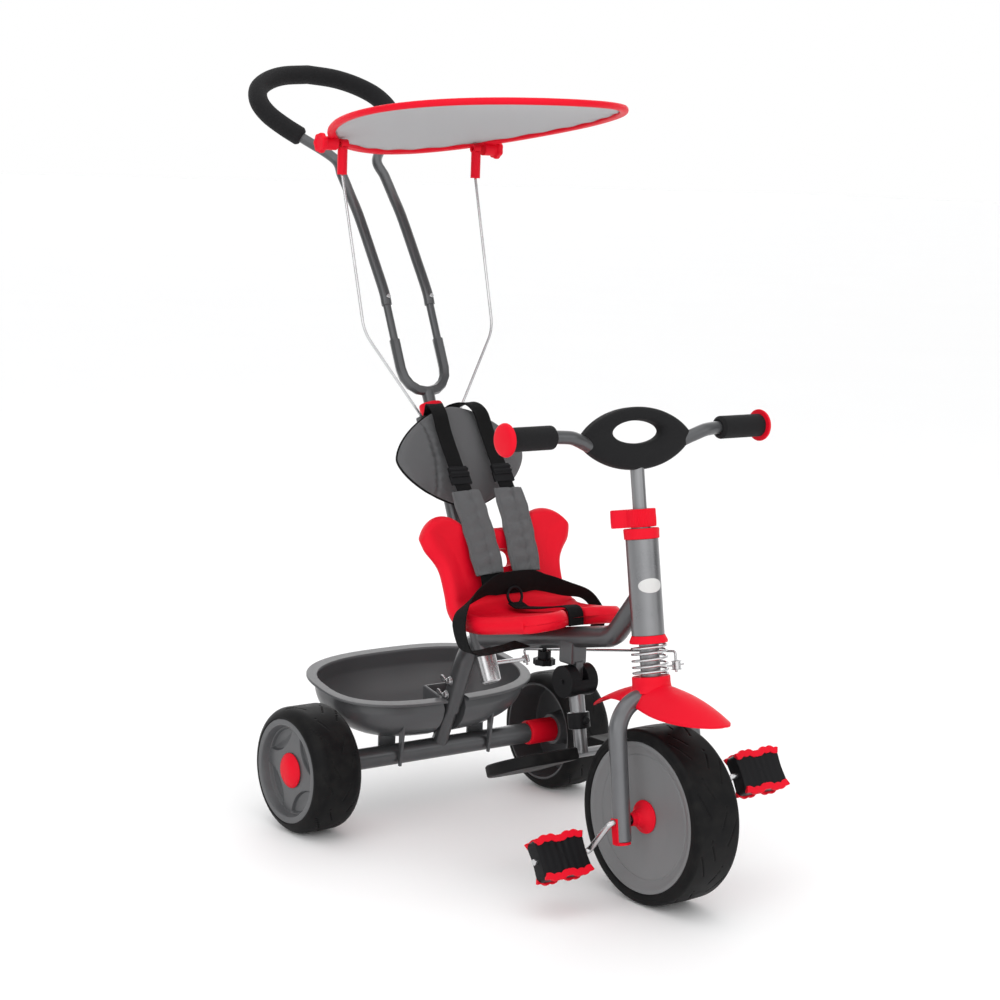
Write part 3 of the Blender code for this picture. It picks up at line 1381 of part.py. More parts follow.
def footrest():
    drum_body = drum(DRUM_RADIUS, 2 * DRUM_HALF_WIDTH, "X", steps=24)
    pivot = put("footrest_pivot", drum_body, black_plastic(), FOOT)
    reach, past = TONGUE_REACH + 2 * GAP, DRUM_RADIUS + 0.008
    slot = [(reach * math.cos(a), reach * math.sin(a)) for a in np.linspace(-math.pi / 2, -math.pi, 7)]
    slot += [(-past, 0), (-past, past), (past, past), (past, -reach)]
    cut(pivot, tool(outline_plate([slot], 2 * (TONGUE_HALF + GAP)), FOOT, (0, 0, 0), UPRIGHT))
    cut(pivot, tool(drum(FOOT_TUBE + GAP, 0.020, centre=(0, 0, -0.0217), steps=24), FOOT))
    join(pivot, tool(drum(FOOT_BOLT, 2 * DRUM_HALF_WIDTH + 0.004, "X", steps=12), FOOT))
    top, ring_top, ring_low, ring = -0.0120, -0.0425, -0.0640, 0.0145
    wall = [
        (FOOT_BORE, top),
        (FOOT_TUBE, top),
        (FOOT_TUBE, ring_top),
        (ring, ring_top),
        (ring, ring_low),
        (FOOT_BORE, ring_low),
    ]
    turned("footrest_post", wall, silver_paint(), FOOT, 24)
    bar = put("foot_bar", drum(CROSS_RADIUS, 0.150, "X", (0, 0, -CROSS_DOWN)), silver_paint(), FOOT)
    stem_top = -0.0370
    stem = drum(FOOT_BORE - GAP, stem_top + CROSS_DOWN, centre=(0, 0, (stem_top - CROSS_DOWN) / 2), steps=24)
    join(bar, tool(stem, FOOT))
    outline = [(0.0, -0.0475), (0.0, 0.0475)]
    turns = np.linspace(0.15, math.pi - 0.15, 12)
    outline += [(0.058 + 0.0475 * math.sin(a), 0.0475 * math.cos(a)) for a in turns]
    for side, end in LEFT_RIGHT:
        place = into_foot(side * 0.045, 0.1565, 0.1540)
        turn = (FOOT_LEAN, 0, 0 if side > 0 else math.pi)
        plate = outline_plate([outline], 0.016, 0.002)
        pad = put("foot_pad_" + end, plate, black_rubber(), FOOT, place, turn)
        bore = drum(CROSS_RADIUS + GAP, 0.1515, "X", (0, 0, -CROSS_DOWN))
        cut(pad, tool(bore, FOOT))


front_wheel()
crank()
pedal("pedal_left", 1)
pedal("pedal_right", -1)
fork()
fender()
spring()
head_set()
clamp()
handlebar()
bar_pad()
spine()
rear_axle()
rear_wheels()
basket()
seat()
headrest()
shoulder_strap("shoulder_strap_left", 1)
shoulder_strap("shoulder_strap_right", -1)
harness_belt()
canopy()
post()
steering_arm()
link_rod()
push_bar_lower()
push_bar_upper()
footrest()
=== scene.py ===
import json
import math

import bmesh
import bpy
import numpy as np
from mathutils import Matrix


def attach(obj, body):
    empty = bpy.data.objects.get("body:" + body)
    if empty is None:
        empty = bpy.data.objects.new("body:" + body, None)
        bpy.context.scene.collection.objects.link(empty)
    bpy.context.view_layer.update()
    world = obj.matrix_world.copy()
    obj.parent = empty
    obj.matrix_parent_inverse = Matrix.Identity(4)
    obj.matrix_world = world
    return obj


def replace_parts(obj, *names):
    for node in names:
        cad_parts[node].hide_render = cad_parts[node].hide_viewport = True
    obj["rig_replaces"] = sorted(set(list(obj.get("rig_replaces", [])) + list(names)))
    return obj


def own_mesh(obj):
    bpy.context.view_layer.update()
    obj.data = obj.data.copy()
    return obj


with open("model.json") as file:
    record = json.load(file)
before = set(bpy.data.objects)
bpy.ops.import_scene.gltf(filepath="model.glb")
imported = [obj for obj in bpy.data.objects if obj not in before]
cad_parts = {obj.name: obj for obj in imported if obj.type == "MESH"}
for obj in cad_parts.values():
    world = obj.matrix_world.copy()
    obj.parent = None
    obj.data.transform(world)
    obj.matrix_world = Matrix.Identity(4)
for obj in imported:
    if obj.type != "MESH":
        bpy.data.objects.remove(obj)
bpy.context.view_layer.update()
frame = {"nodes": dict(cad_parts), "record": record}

scene = bpy.context.scene
scene.view_settings.view_transform = "Standard"
tau = 2 * math.pi

# where each group of pieces stands: origin (y, z) and how far it leans back, in degrees
stands = {
    "row": (0.0, 0.0, 0.0),
    "root": (-0.387, 0.0, 0.0),
    "wheel": (-0.387, 0.113, 0.0),
    "steer": (-0.387, 0.113, 9.6),
    "rear": (0.0976, 0.0875, 0.0),
    "post": (-0.0206, 0.218, 24.06),
    "foot": (-0.207, 0.2496, 11.5),
    "tilt": (0.207, 0.942, 0.0),
}


# (x, across, along) of a stand turned by its lean and moved to its origin
def placed(points, stand):
    points = np.asarray(points, float)
    originY, originZ, lean = stands[stand]
    cosine, sine = math.cos(math.radians(lean)), math.sin(math.radians(lean))
    across, along = points[..., 1], points[..., 2]
    y = originY + across * cosine + along * sine
    z = originZ - across * sine + along * cosine
    return np.stack([points[..., 0], y, z], axis=-1)


# points along a polyline whose corners are arcs that leave each leg at the same distance
def bentPath(corners, bend, arcSteps=14):
    corners = np.asarray(corners, float)
    bends = np.broadcast_to(bend, len(corners) - 2)
    path = [corners[:1]]
    for before, corner, after, radius in zip(corners, corners[1:], corners[2:], bends):
        back, onward = before - corner, after - corner
        lengths = np.linalg.norm(back), np.linalg.norm(onward)
        back, onward = back / lengths[0], onward / lengths[1]
        opening = math.acos(np.clip(back @ onward, -1, 1))
        reach = min(radius / math.tan(opening / 2), 0.49 * min(lengths))
        middle = (back + onward) / np.linalg.norm(back + onward)
        radius = reach * math.tan(opening / 2)
        centre = corner + middle * radius / math.sin(opening / 2)
        start, end = corner + back * reach - centre, corner + onward * reach - centre
        swing = math.pi - opening
        turn = np.linspace(0, 1, arcSteps)[:, None]
        path.append(centre + (np.sin((1 - turn) * swing) * start
                              + np.sin(turn * swing) * end) / math.sin(swing))
    path.append(corners[-1:])
    return np.concatenate(path)


# a curve through every point, cubic between each pair, with slopes from the neighbours
def smoothPath(points, perSpan=8):
    points = np.asarray(points, float)
    ends = 2 * points[0] - points[1], 2 * points[-1] - points[-2]
    held = np.concatenate([ends[:1], points, ends[1:]])
    t = np.linspace(0, 1, perSpan, endpoint=False)[None, :, None]
    a, b, c, d = (held[i:len(held) - 3 + i, None] for i in range(4))
    curve = 0.5 * (2 * b + (c - a) * t + (2 * a - 5 * b + 4 * c - d) * t ** 2
                   + (3 * b - a - 3 * c + d) * t ** 3)
    return np.concatenate([curve.reshape(-1, points.shape[1]), points[-1:]])


# two directions square to a path, carried along it so that a section never twists
def carriedFrames(path, side=None):
    tangents = np.gradient(path, axis=0)
    tangents /= np.linalg.norm(tangents, axis=1, keepdims=True)
    if side is not None:
        sides = np.broadcast_to(np.asarray(side, float), path.shape)
        sides = sides - np.sum(sides * tangents, axis=1, keepdims=True) * tangents
    else:
        first = np.eye(3)[np.argmin(np.abs(tangents[0]))]
        sides = [first]
        for tangent in tangents:
            sides.append(sides[-1] - (sides[-1] @ tangent) * tangent)
        sides = np.array(sides[1:])
    sides = sides / np.linalg.norm(sides, axis=1, keepdims=True)
    return sides, np.cross(tangents, sides)


# a grid of points made into a mesh; rows may close on themselves and ends may be filled
def gridMesh(name, grid, aroundCloses=True, alongCloses=False, filled=True, uv=None):
    rows, columns = grid.shape[:2]
    index = np.arange(rows * columns).reshape(rows, columns)
    nextRow = np.roll(index, -1, axis=0) if alongCloses else index[1:]
    here = index if alongCloses else index[:-1]
    if aroundCloses:
        quads = np.stack([here, np.roll(here, -1, 1), np.roll(nextRow, -1, 1), nextRow], -1)
    else:
        quads = np.stack([here[:, :-1], here[:, 1:], nextRow[:, 1:], nextRow[:, :-1]], -1)
    faces = quads.reshape(-1, 4).tolist()
    if filled and aroundCloses and not alongCloses:
        faces += [index[0][::-1].tolist(), index[-1].tolist()]
    mesh = bpy.data.meshes.new(name)
    mesh.from_pydata(grid.reshape(-1, 3).tolist(), [], faces)
    if uv is not None:
        layer = mesh.uv_layers.new(name="surface")
        corners = np.zeros(len(mesh.loops), dtype=np.int32)
        mesh.loops.foreach_get("vertex_index", corners)
        layer.data.foreach_set("uv", uv.reshape(-1, 2)[corners].astype(np.float32).ravel())
    return mesh


# poles and seams are joined, and a closed shell that has come out inside out is turned round
def tidiedMesh(mesh, joined=2e-6):
    work = bmesh.new()
    work.from_mesh(mesh)
    bmesh.ops.remove_doubles(work, verts=work.verts, dist=joined)
    bmesh.ops.dissolve_degenerate(work, edges=work.edges, dist=joined / 2)
    if work.calc_volume(signed=True) < 0:
        bmesh.ops.reverse_faces(work, faces=work.faces)
    work.to_mesh(mesh)
    work.free()
    return mesh


made = {}


# a mesh becomes a piece: shaded smooth, its sharp edges softened, on its body, in its finish
def addPiece(name, mesh, body, slot, nodes=(), edge=0.0, segments=3, angle=32):
    piece = bpy.data.objects.new(name, tidiedMesh(mesh))
    scene.collection.objects.link(piece)
    mesh.polygons.foreach_set("use_smooth", np.ones(len(mesh.polygons), dtype=bool))
    mesh.materials.clear()
    mesh.materials.append(finishes[slot])
    if edge:
        soften = piece.modifiers.new("edge", "BEVEL")
        soften.width = edge
        soften.segments = segments
        soften.limit_method = "ANGLE"
        soften.angle_limit = math.radians(angle)
        soften.harden_normals = False
        soften.use_clamp_overlap = True
    weighting = piece.modifiers.new("shading", "WEIGHTED_NORMAL")
    weighting.keep_sharp = True
    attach(piece, body)
    if nodes:
        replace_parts(piece, *nodes)
    made[name] = piece
    return piece


# a socket that adds its Math node when it stands in an expression
class Signal:
    def __init__(self, finish, socket):
        self.finish = finish
        self.socket = socket

    def worked(self, operation, first, second):
        return self.finish.add("ShaderNodeMath", {"operation": operation}, {0: first, 1: second})

    def __add__(self, other):
        return self.worked("ADD", self, other)

    def __sub__(self, other):
        return self.worked("SUBTRACT", self, other)

    def __rsub__(self, other):
        return self.worked("SUBTRACT", other, self)

    def __mul__(self, other):
        return self.worked("MULTIPLY", self, other)

    def __pow__(self, other):
        return self.worked("POWER", self, other)

    __radd__ = __add__
    __rmul__ = __mul__


class Finish:
    def __init__(self, name, reads="Object"):
        self.material = bpy.data.materials.new(name)
        self.material.use_nodes = True
        self.tree = self.material.node_tree
        self.shader = self.tree.nodes["Principled BSDF"]
        if reads == "Object":
            self.where = self.add("ShaderNodeTexCoord", {}, {}, "Object")
        else:
            self.where = self.add("ShaderNodeUVMap", {"uv_map": reads}, {}, "UV")

    def feed(self, socket, value):
        if isinstance(value, Signal):
            self.tree.links.new(value.socket, socket)
        else:
            socket.default_value = value

    def add(self, kind, settings, values, output=0):
        node = self.tree.nodes.new(kind)
        for setting, choice in settings.items():
            if setting == "stops":
                node.color_ramp.elements[0].position, node.color_ramp.elements[1].position = choice
            else:
                setattr(node, setting, choice)
        for socket, value in values.items():
            self.feed(node.inputs[socket], value)
        return Signal(self, node.outputs[output])

    def noise(self, scale, detail=3.0, stretch=(1, 1, 1)):
        turned = self.add("ShaderNodeMapping", {}, {"Vector": self.where, "Scale": stretch})
        return self.add("ShaderNodeTexNoise", {}, {"Vector": turned, "Scale": scale, "Detail": detail})

    def mix(self, mask, low, high):
        return self.add("ShaderNodeMix", {"data_type": "RGBA"}, {0: mask, 6: (*low, 1), 7: (*high, 1)}, 2)

    def clamped(self, signal, low, high):
        return self.add("ShaderNodeValToRGB", {"stops": (low, high)}, {0: signal})

    def relief(self, height, depth, strength=1.0):
        return self.add("ShaderNodeBump", {}, {"Height": height, "Distance": depth, "Strength": strength})

    def set(self, **values):
        names = {"colour": "Base Color", "roughness": "Roughness", "metallic": "Metallic", "normal": "Normal",
                 "coat": "Coat Weight", "coatRoughness": "Coat Roughness", "sheen": "Sheen Weight",
                 "sheenRoughness": "Sheen Roughness", "specular": "Specular IOR Level"}
        for name, value in values.items():
            value = (*value, 1) if name == "colour" and isinstance(value, tuple) else value
            self.feed(self.shader.inputs[names[name]], value)
        return self.material


# moulded plastic: two close tints in broad drifts, fine spark-eroded grain, faint handling marks
def mouldedPlastic(name, tint, shade, roughness, grain=0.00006, coat=0.0, specular=0.42):
    finish = Finish(name)
    drift = finish.clamped(finish.noise(9.0, 2.0), 0.3, 0.7)
    marks = finish.clamped(finish.noise(130.0, 4.0, (1, 1, 0.25)), 0.45, 0.85)
    pits = finish.noise(1500.0, 2.0)
    return finish.set(colour=finish.mix(drift, shade, tint),
                      roughness=marks * 0.10 + drift * 0.04 + roughness,
                      coat=coat, coatRoughness=0.18, specular=specular,
                      normal=finish.relief(pits + marks * 0.3, grain))


# tube paint: orange peel about two millimetres across, dust that dulls it, a clear coat
def tubePaint(name, tint, shade, roughness, metallic, coat):
    finish = Finish(name)
    dust = finish.clamped(finish.noise(22.0, 4.0), 0.35, 0.75)
    peel = finish.noise(480.0, 1.5)
    flake = finish.noise(3200.0, 1.0)
    return finish.set(colour=finish.mix(dust * 0.7 + flake * 0.3, shade, tint), metallic=metallic,
                      roughness=dust * 0.08 + flake * 0.05 + roughness, coat=coat, coatRoughness=0.16,
                      normal=finish.relief(peel + flake * 0.25, 0.00005))


# plated or brushed steel: hair lines along the height, a few cloudy fingerprints
def steel(name, tint, roughness, lines):
    finish = Finish(name)
    hairs = finish.noise(700.0, 3.0, lines)
    cloud = finish.clamped(finish.noise(28.0, 3.0), 0.4, 0.8)
    shade = tuple(0.82 * part for part in tint)
    return finish.set(colour=finish.mix(cloud, tint, shade), metallic=0.96,
                      roughness=hairs * 0.12 + cloud * 0.10 + roughness, normal=finish.relief(hairs, 0.00002))


# foam: open pores of about half a millimetre over soft hollows, with a dusty sheen; each pore's middle is
# painted darker, painted shade inside the pit
def poreFoam(name, tint, shade):
    finish = Finish(name)
    pores = finish.add("ShaderNodeTexVoronoi", {}, {"Vector": finish.where, "Scale": 1300.0}, "Distance")
    hollows = finish.noise(260.0, 3.0)
    # painted shade: the colour runs from the dark tone in each pore's pit to the foam's tint between pores
    return finish.set(colour=finish.mix(finish.clamped(pores, 0.1, 0.6), shade, tint), sheen=0.03,
                      sheenRoughness=0.6, roughness=hollows * 0.12 + 0.74, specular=0.14,
                      normal=finish.relief(pores + hollows * 0.8, 0.00022))


# rubber: scuffed lighter where it rolls, fine radial grain
def tyreRubber(name):
    finish = Finish(name)
    dust = finish.clamped(finish.noise(55.0, 5.0), 0.42, 0.80)
    grain = finish.noise(1100.0, 3.0)
    return finish.set(colour=finish.mix(dust, (0.005, 0.005, 0.0055), (0.013, 0.0125, 0.012)), specular=0.11,
                      roughness=dust * 0.16 + grain * 0.06 + 0.46,
                      normal=finish.relief(grain + dust * 0.5, 0.00007))


# plain weave on the piece's own map: two sine waves crossed, closer for a finer thread, with slubs; the low
# places of the weave are painted darker, painted shade between the threads
def wovenCloth(name, tint, shade, thread, depth, sheen, ribbed=0.0, roughness=0.82):
    finish = Finish(name, "surface")
    turned = finish.add("ShaderNodeMapping", {}, {"Vector": finish.where, "Scale": (1, 1, 1)})
    waves = [finish.add("ShaderNodeTexWave", {"bands_direction": way, "wave_profile": "SIN"},
                        {"Vector": turned, "Scale": tau / (thread * 20), "Distortion": 0.35, "Detail": 1.0,
                         "Detail Scale": 2.0}, "Fac") for way in ("X", "Y")]
    cross = waves[0] * waves[1] + (1 - waves[0]) * (1 - waves[1])
    slubs = finish.noise(420.0, 3.0, (0.3, 1, 1))
    fuzz = finish.noise(60.0, 3.0)
    height = cross * (1 - ribbed) + waves[0] * ribbed + slubs * 0.35
    # painted shade: the colour follows the weave's height, dark between the threads and light on them, with
    # random fuzz in tone over it
    mask = finish.clamped(height * 0.55 + fuzz * 0.35, 0.15, 0.85)
    return finish.set(colour=finish.mix(mask, shade, tint), sheen=sheen, sheenRoughness=0.45, specular=0.14,
                      roughness=slubs * 0.10 + roughness, normal=finish.relief(height, depth))


finishes = {
    "red_plastic": mouldedPlastic("redPlastic", (0.78, 0.0035, 0.0215), (0.72, 0.003, 0.017), 0.45,
                                  specular=0.14),
    "black_plastic": mouldedPlastic("blackPlastic", (0.010, 0.010, 0.011), (0.006, 0.006, 0.007), 0.34,
                                    0.00008,
                                    specular=0.12),
    "grey_plastic": mouldedPlastic("greyPlastic", (0.092, 0.094, 0.098), (0.078, 0.080, 0.084), 0.30, 0.00005,
                                   0.15, 0.32),
    "grey_disc": mouldedPlastic("discGrey", (0.185, 0.187, 0.191), (0.168, 0.170, 0.174), 0.44, 0.00006),
    "black_rubber": tyreRubber("tyreRubber"),
    "black_foam": poreFoam("poreFoam", (0.012, 0.012, 0.013), (0.004, 0.004, 0.0045)),
    "grey_paint": tubePaint("tubeGrey", (0.100, 0.102, 0.106), (0.082, 0.084, 0.088), 0.27, 0.60, 0.12),
    "silver_paint": tubePaint("tubeSilver", (0.27, 0.273, 0.28), (0.22, 0.223, 0.23), 0.26, 0.8, 0.15),
    "fork_silver": tubePaint("forkSilver", (0.150, 0.153, 0.160), (0.120, 0.122, 0.128), 0.30, 0.55, 0.22),
    "silver_bright": tubePaint("headSilver", (0.25, 0.253, 0.26), (0.20, 0.203, 0.21), 0.24, 0.85, 0.12),
    "pale_badge": mouldedPlastic("paleBadge", (0.66, 0.66, 0.65), (0.60, 0.60, 0.59), 0.30, 0.00002, 0.3),
    "chrome": steel("bareSteel", (0.58, 0.58, 0.59), 0.15, (1, 1, 0.05)),
    "grey_cloth": wovenCloth("seatCloth", (0.165, 0.167, 0.172), (0.085, 0.087, 0.091), 0.0011, 0.00025,
                             0.12),
    "canopy_cloth": wovenCloth("canopyCloth", (0.50, 0.505, 0.515), (0.40, 0.405, 0.415), 0.0009, 0.00015,
                               0.2),
    "black_webbing": wovenCloth("webbing", (0.007, 0.007, 0.0075), (0.0025, 0.0025, 0.003), 0.0016,
                                 0.00035, 0.02, 0.6),
}
print("finishes:", len(finishes))


# a profile of (radius, height) carried round an axis, one row for each step of the turn
def turnedGrid(profile, axis="x", steps=128, centre=(0, 0, 0)):
    profile = np.asarray(profile, float)
    turn = np.linspace(0, tau, steps, endpoint=False)[:, None]
    radius, height = profile[None, :, 0], profile[None, :, 1] + 0 * turn
    first, second = radius * np.cos(turn), radius * np.sin(turn)
    order = {"x": (height, first, second), "y": (second, height, first), "z": (first, second, height)}[axis]
    return np.stack(order, -1) + np.asarray(centre, float)


def turnedPiece(name, profile, stand, body, slot, nodes, axis="x", centre=(0, 0, 0), steps=128, edge=0.0006):
    grid = placed(turnedGrid(profile, axis, steps, centre), stand)
    mesh = gridMesh(name, grid, aroundCloses=True, alongCloses=True)
    return addPiece(name, mesh, body, slot, nodes, edge)


# 0 below the first value and 1 above the second, with soft ends
def eased(value, low, high):
    share = np.clip((value - low) / (high - low), 0, 1)
    return share * share * (3 - 2 * share)


frontTyre = {
    "radius": 0.113,
    "inner": 0.0973,
    "crown": 0.0007,
    "grooves": 9,
    "grooveDepth": 0.0016,
    "grooveHalfWidth": 0.0016,
}

rearTyre = {
    "radius": 0.0875,
    "middle": 0.220,
    "rimRadius": 0.0724,
    "shoulder": 0.018,
    "grooves": 8,
    "grooveDepth": 0.0014,
    "grooveHalfWidth": 0.0015,
}


# how deep the tread is at each place: long slanted cuts, each with a step in its middle, on both sides
def treadDepth(turn, side, halfTread, tyre):
    share = np.abs(side) / halfTread
    lean = 0.85 * share + 0.40 * eased(share, 0.44, 0.50)
    phase = (turn / tau * tyre["grooves"] + lean + np.where(side > 0, 0.5, 0)) % 1
    distance = np.minimum(phase, 1 - phase) * tau * tyre["radius"] / tyre["grooves"]
    cut = 1 - eased(distance, tyre["grooveHalfWidth"] * 0.5, tyre["grooveHalfWidth"])
    ends = eased(share, 0.08, 0.12) * (1 - eased(share, 0.92, 1.0))
    return tyre["grooveDepth"] * cut * ends


def makeFrontTyre():
    tyre = frontTyre
    side = np.linspace(-0.0285, 0.0285, 45)
    wall = np.array([(tyre["inner"], 0.0345), (0.0980, 0.0358), (0.0995, 0.0365), (0.1050, 0.0365),
                     (0.1056, 0.0357), (0.1066, 0.0355), (0.1092, 0.0349), (0.1110, 0.0330),
                     (0.1121, 0.0308)])
    tread = np.stack([tyre["radius"] - tyre["crown"] * (side / 0.0285) ** 2, side], 1)
    profile = np.concatenate([wall * (1, -1), tread, wall[::-1]])
    grid = turnedGrid(profile, "x", 660)
    turn = np.linspace(0, tau, 660, endpoint=False)[:, None]
    inside = np.abs(profile[:, 1]) <= 0.0286
    depth = treadDepth(turn, profile[None, :, 1], 0.0285, tyre) * inside
    grid[..., 1] -= depth * np.cos(turn)
    grid[..., 2] -= depth * np.sin(turn)
    mesh = gridMesh("frontTyre", placed(grid, "wheel"), True, True)
    addPiece("frontTyre", mesh, "front_wheel", "black_rubber", ["front_tyre"])


def makeRearTyre(side, way):
    tyre = rearTyre
    turnIn = math.asin((tyre["rimRadius"] - tyre["radius"] + tyre["shoulder"]) / tyre["shoulder"])
    bow = np.linspace(turnIn, math.pi / 2, 12)
    centre = tyre["radius"] - tyre["shoulder"]
    arc = np.stack([centre + tyre["shoulder"] * np.sin(bow), 0.020 + tyre["shoulder"] * np.cos(bow)], 1)
    ring = np.array([(tyre["rimRadius"] + 0.0002, 0.0360)])
    flat = np.linspace(-0.0192, 0.0192, 31)
    tread = np.stack([tyre["radius"] + 0 * flat, flat], 1)
    profile = np.concatenate([ring * (1, -1), arc * (1, -1), tread, arc[::-1], ring])
    grid = turnedGrid(profile, "x", 540)
    turn = np.linspace(0, tau, 540, endpoint=False)[:, None]
    reach = 0.031
    depth = treadDepth(turn, profile[None, :, 1], reach, tyre) * (np.abs(profile[:, 1]) <= reach)
    grid[..., 1] -= depth * np.cos(turn)
    grid[..., 2] -= depth * np.sin(turn)
    grid[..., 0] += way * tyre["middle"]
    mesh = gridMesh("rearTyre_" + side, placed(grid, "rear"), True, True)
    addPiece("rearTyre_" + side, mesh, "rear_wheel_" + side, "black_rubber", ["rear_tyre_" + side])


# the disc: a raised outer ring, a fine groove inside it and a shallow dish towards the hub, on both faces
def makeFrontRim():
    face = np.array([(0.0043, 0.0250), (0.0300, 0.0250), (0.0450, 0.0251), (0.0640, 0.0268), (0.0790, 0.0287),
                     (0.0800, 0.0281), (0.0812, 0.0281), (0.0824, 0.0291), (0.0880, 0.0312), (0.0905, 0.0338),
                     (0.0925, 0.0348), (0.0950, 0.0350), (0.0968, 0.0350), (0.0970, 0.0346)])
    profile = np.concatenate([face, face[::-1] * (1, -1)])
    turnedPiece("frontRim", profile, "wheel", "front_wheel", "grey_disc", ["front_rim"], steps=192,
                edge=0.0004)


rearRim = {
    "pockets": 4,
    "pocketDepth": 0.0058,
    "ring": 0.0593,
    "arc": 0.0478,
    "away": 0.082,
    "firstTurn": 0.15,
}


# how deep a pocket is: each one is the lens between the face's ring and an arc drawn round a point outside it
def pocketDepth(turn, radius):
    rim = rearRim
    depth = 0 * turn * radius
    for pocket in range(rim["pockets"]):
        at = tau * (pocket / rim["pockets"] + rim["firstTurn"])
        gap = np.hypot(radius * np.cos(turn) - rim["away"] * math.cos(at),
                       radius * np.sin(turn) - rim["away"] * math.sin(at))
        inside = np.minimum(rim["ring"] - radius, rim["arc"] - gap)
        depth = np.maximum(depth, eased(inside, 0, 0.0022) * (0.80 + 0.20 * eased(inside, 0.002, 0.012)))
    return rim["pocketDepth"] * depth


def makeRearRim(side, way):
    face = np.stack([np.linspace(0.0053, 0.0600, 76), np.linspace(0.2480, 0.2470, 76)], 1)
    lip = np.array([(0.0618, 0.2520), (0.0630, 0.2562), (0.0640, 0.2572), (0.0655, 0.2575), (0.0712, 0.2575),
                    (0.0720, 0.2572), (0.0724, 0.2564), (0.0724, 0.1836), (0.0720, 0.1830), (0.0696, 0.1830),
                    (0.0690, 0.1838), (0.0690, 0.2340), (0.0680, 0.2350), (0.0272, 0.2350), (0.0260, 0.2342),
                    (0.0232, 0.2094), (0.0222, 0.2080), (0.0053, 0.2080)])
    profile = np.concatenate([face, lip])
    grid = turnedGrid(profile, "x", 320)
    turn = np.linspace(0, tau, 320, endpoint=False)[:, None]
    grid[:, :76, 0] -= pocketDepth(turn, profile[None, :76, 0])
    grid[..., 0] *= way
    mesh = gridMesh("rearRim_" + side, placed(grid, "rear"), True, True)
    addPiece("rearRim_" + side, mesh, "rear_wheel_" + side, "grey_plastic", ["rear_rim_" + side], 0.0003)


def roundedEnd(profile, way, stand, name, body, slot, nodes, edge=0.0008, steps=112):
    profile = np.asarray(profile, float) * (1, way)
    turnedPiece(name, profile, stand, body, slot, nodes, edge=edge, steps=steps)


def makeWheels():
    makeFrontTyre()
    makeFrontRim()
    for side, way in (("left", 1), ("right", -1)):
        cone = [(0.0043, 0.0505), (0.0085, 0.0505), (0.0085, 0.0420), (0.0100, 0.0420), (0.0112, 0.0375),
                (0.0132, 0.0330), (0.0165, 0.0295), (0.0205, 0.0281), (0.0214, 0.0275), (0.0214, 0.0253),
                (0.0043, 0.0253)]
        roundedEnd(cone, way, "wheel", "hubCone_" + side, "front_wheel", "red_plastic", ["hub_cone_" + side])
        bush = [(0.0043, 0.0508), (0.0068, 0.0508), (0.0068, 0.0506), (0.0043, 0.0506)]
        roundedEnd(bush, way, "wheel", "hubBush_" + side, "front_wheel", "black_plastic", (), 0.00005)
        makeRearTyre(side, way)
        makeRearRim(side, way)
        cap = [(0, 0.2575), (0.004, 0.25745), (0.008, 0.2572), (0.012, 0.2566), (0.016, 0.2555),
               (0.020, 0.2535),
               (0.0228, 0.2515), (0.0242, 0.2500), (0.0244, 0.2492), (0.0244, 0.2483), (0, 0.2483)]
        roundedEnd(cap, way, "rear", "hubCap_" + side, "rear_wheel_" + side, "red_plastic",
                   ["hub_cap_" + side])
    print("wheels made")


makeWheels()


# a round section carried along a path, with rounded shoulders where its ends are closed
def tubeGrid(path, radius, around=32, side=None, shoulder=0.0):
    path = np.asarray(path, float)
    sides, ups = carriedFrames(path, side)
    radii = np.broadcast_to(np.asarray(radius, float), len(path)).copy()
    if shoulder:
        lengths = np.concatenate([[0], np.cumsum(np.linalg.norm(np.diff(path, axis=0), axis=1))])
        near = np.minimum(lengths, lengths[-1] - lengths)
        short = np.clip(1 - near / shoulder, 0, 1)
        radii -= shoulder * (1 - np.sqrt(1 - short ** 2))
    turn = np.linspace(0, tau, around, endpoint=False)[None, :, None]
    ring = np.cos(turn) * sides[:, None] + np.sin(turn) * ups[:, None]
    return path[:, None] + radii[:, None, None] * ring


def tubePiece(name, path, radius, stand, body, slot, nodes=(), around=32, edge=0.0005, side=None,
              shoulder=0.0):
    grid = tubeGrid(path, radius, around, side, shoulder)
    if stand != "row":
        grid = placed(grid, stand)
    return addPiece(name, gridMesh(name, grid), body, slot, nodes, edge)


def straight(start, end, count=2):
    share = np.linspace(0, 1, count)[:, None]
    return np.asarray(start, float) * (1 - share) + np.asarray(end, float) * share


fork = {
    "legRadius": 0.01165,
    "legs": [(-0.065, 0, -0.025), (-0.060, 0, 0.150), (0.060, 0, 0.150), (0.065, 0, -0.025)],
    "crownBend": 0.045,
    "tube": [(0.0095, 0.1700), (0.0127, 0.1700), (0.0127, 0.3880), (0.0095, 0.3880)],
    "pin": ((0.0095, 0, 0.185), (0.0562, 0, 0.185)),
    "pinRadius": 0.0012,
    "eye": [(0.0032, 0.180), (0.0055, 0.180), (0.0055, 0.190), (0.0032, 0.190)],
    "eyeAt": (0.044, 0, 0),
    "washer": (0.0046, 0.0070, 0.0008),
    "washerHeights": (0.1792, 0.1900),
    "springRadius": 0.022,
    "wire": 0.0016,
    "turns": 5.25,
}


def makeSpring():
    low, high = 0.176 + 0.0019, 0.218 - 0.0019
    turns = fork["turns"]
    share = np.linspace(0, 1, 540)
    # the end turns lie flat and the turns between them rise evenly
    rise = eased(share, 0, 1) * 0.35 + share * 0.65
    pinShare = np.interp(0.1846, low + (high - low) * rise, share)
    turn = tau * turns * (share - pinShare)
    path = np.stack([fork["springRadius"] * np.cos(turn), fork["springRadius"] * np.sin(turn),
                     low + (high - low) * rise], 1)
    spring = tubePiece("suspensionSpring", path, fork["wire"], "steer", "headset", "chrome",
                       ["suspension_spring"],
                       14, 0.0003)
    # the spring's axis and its top end are worked out, and the spring is given a mesh of its own
    axis, anchor = placed((0, 0, 1), "steer") - placed((0, 0, 0), "steer"), placed((0, 0, 0.218), "steer")
    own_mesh(spring)


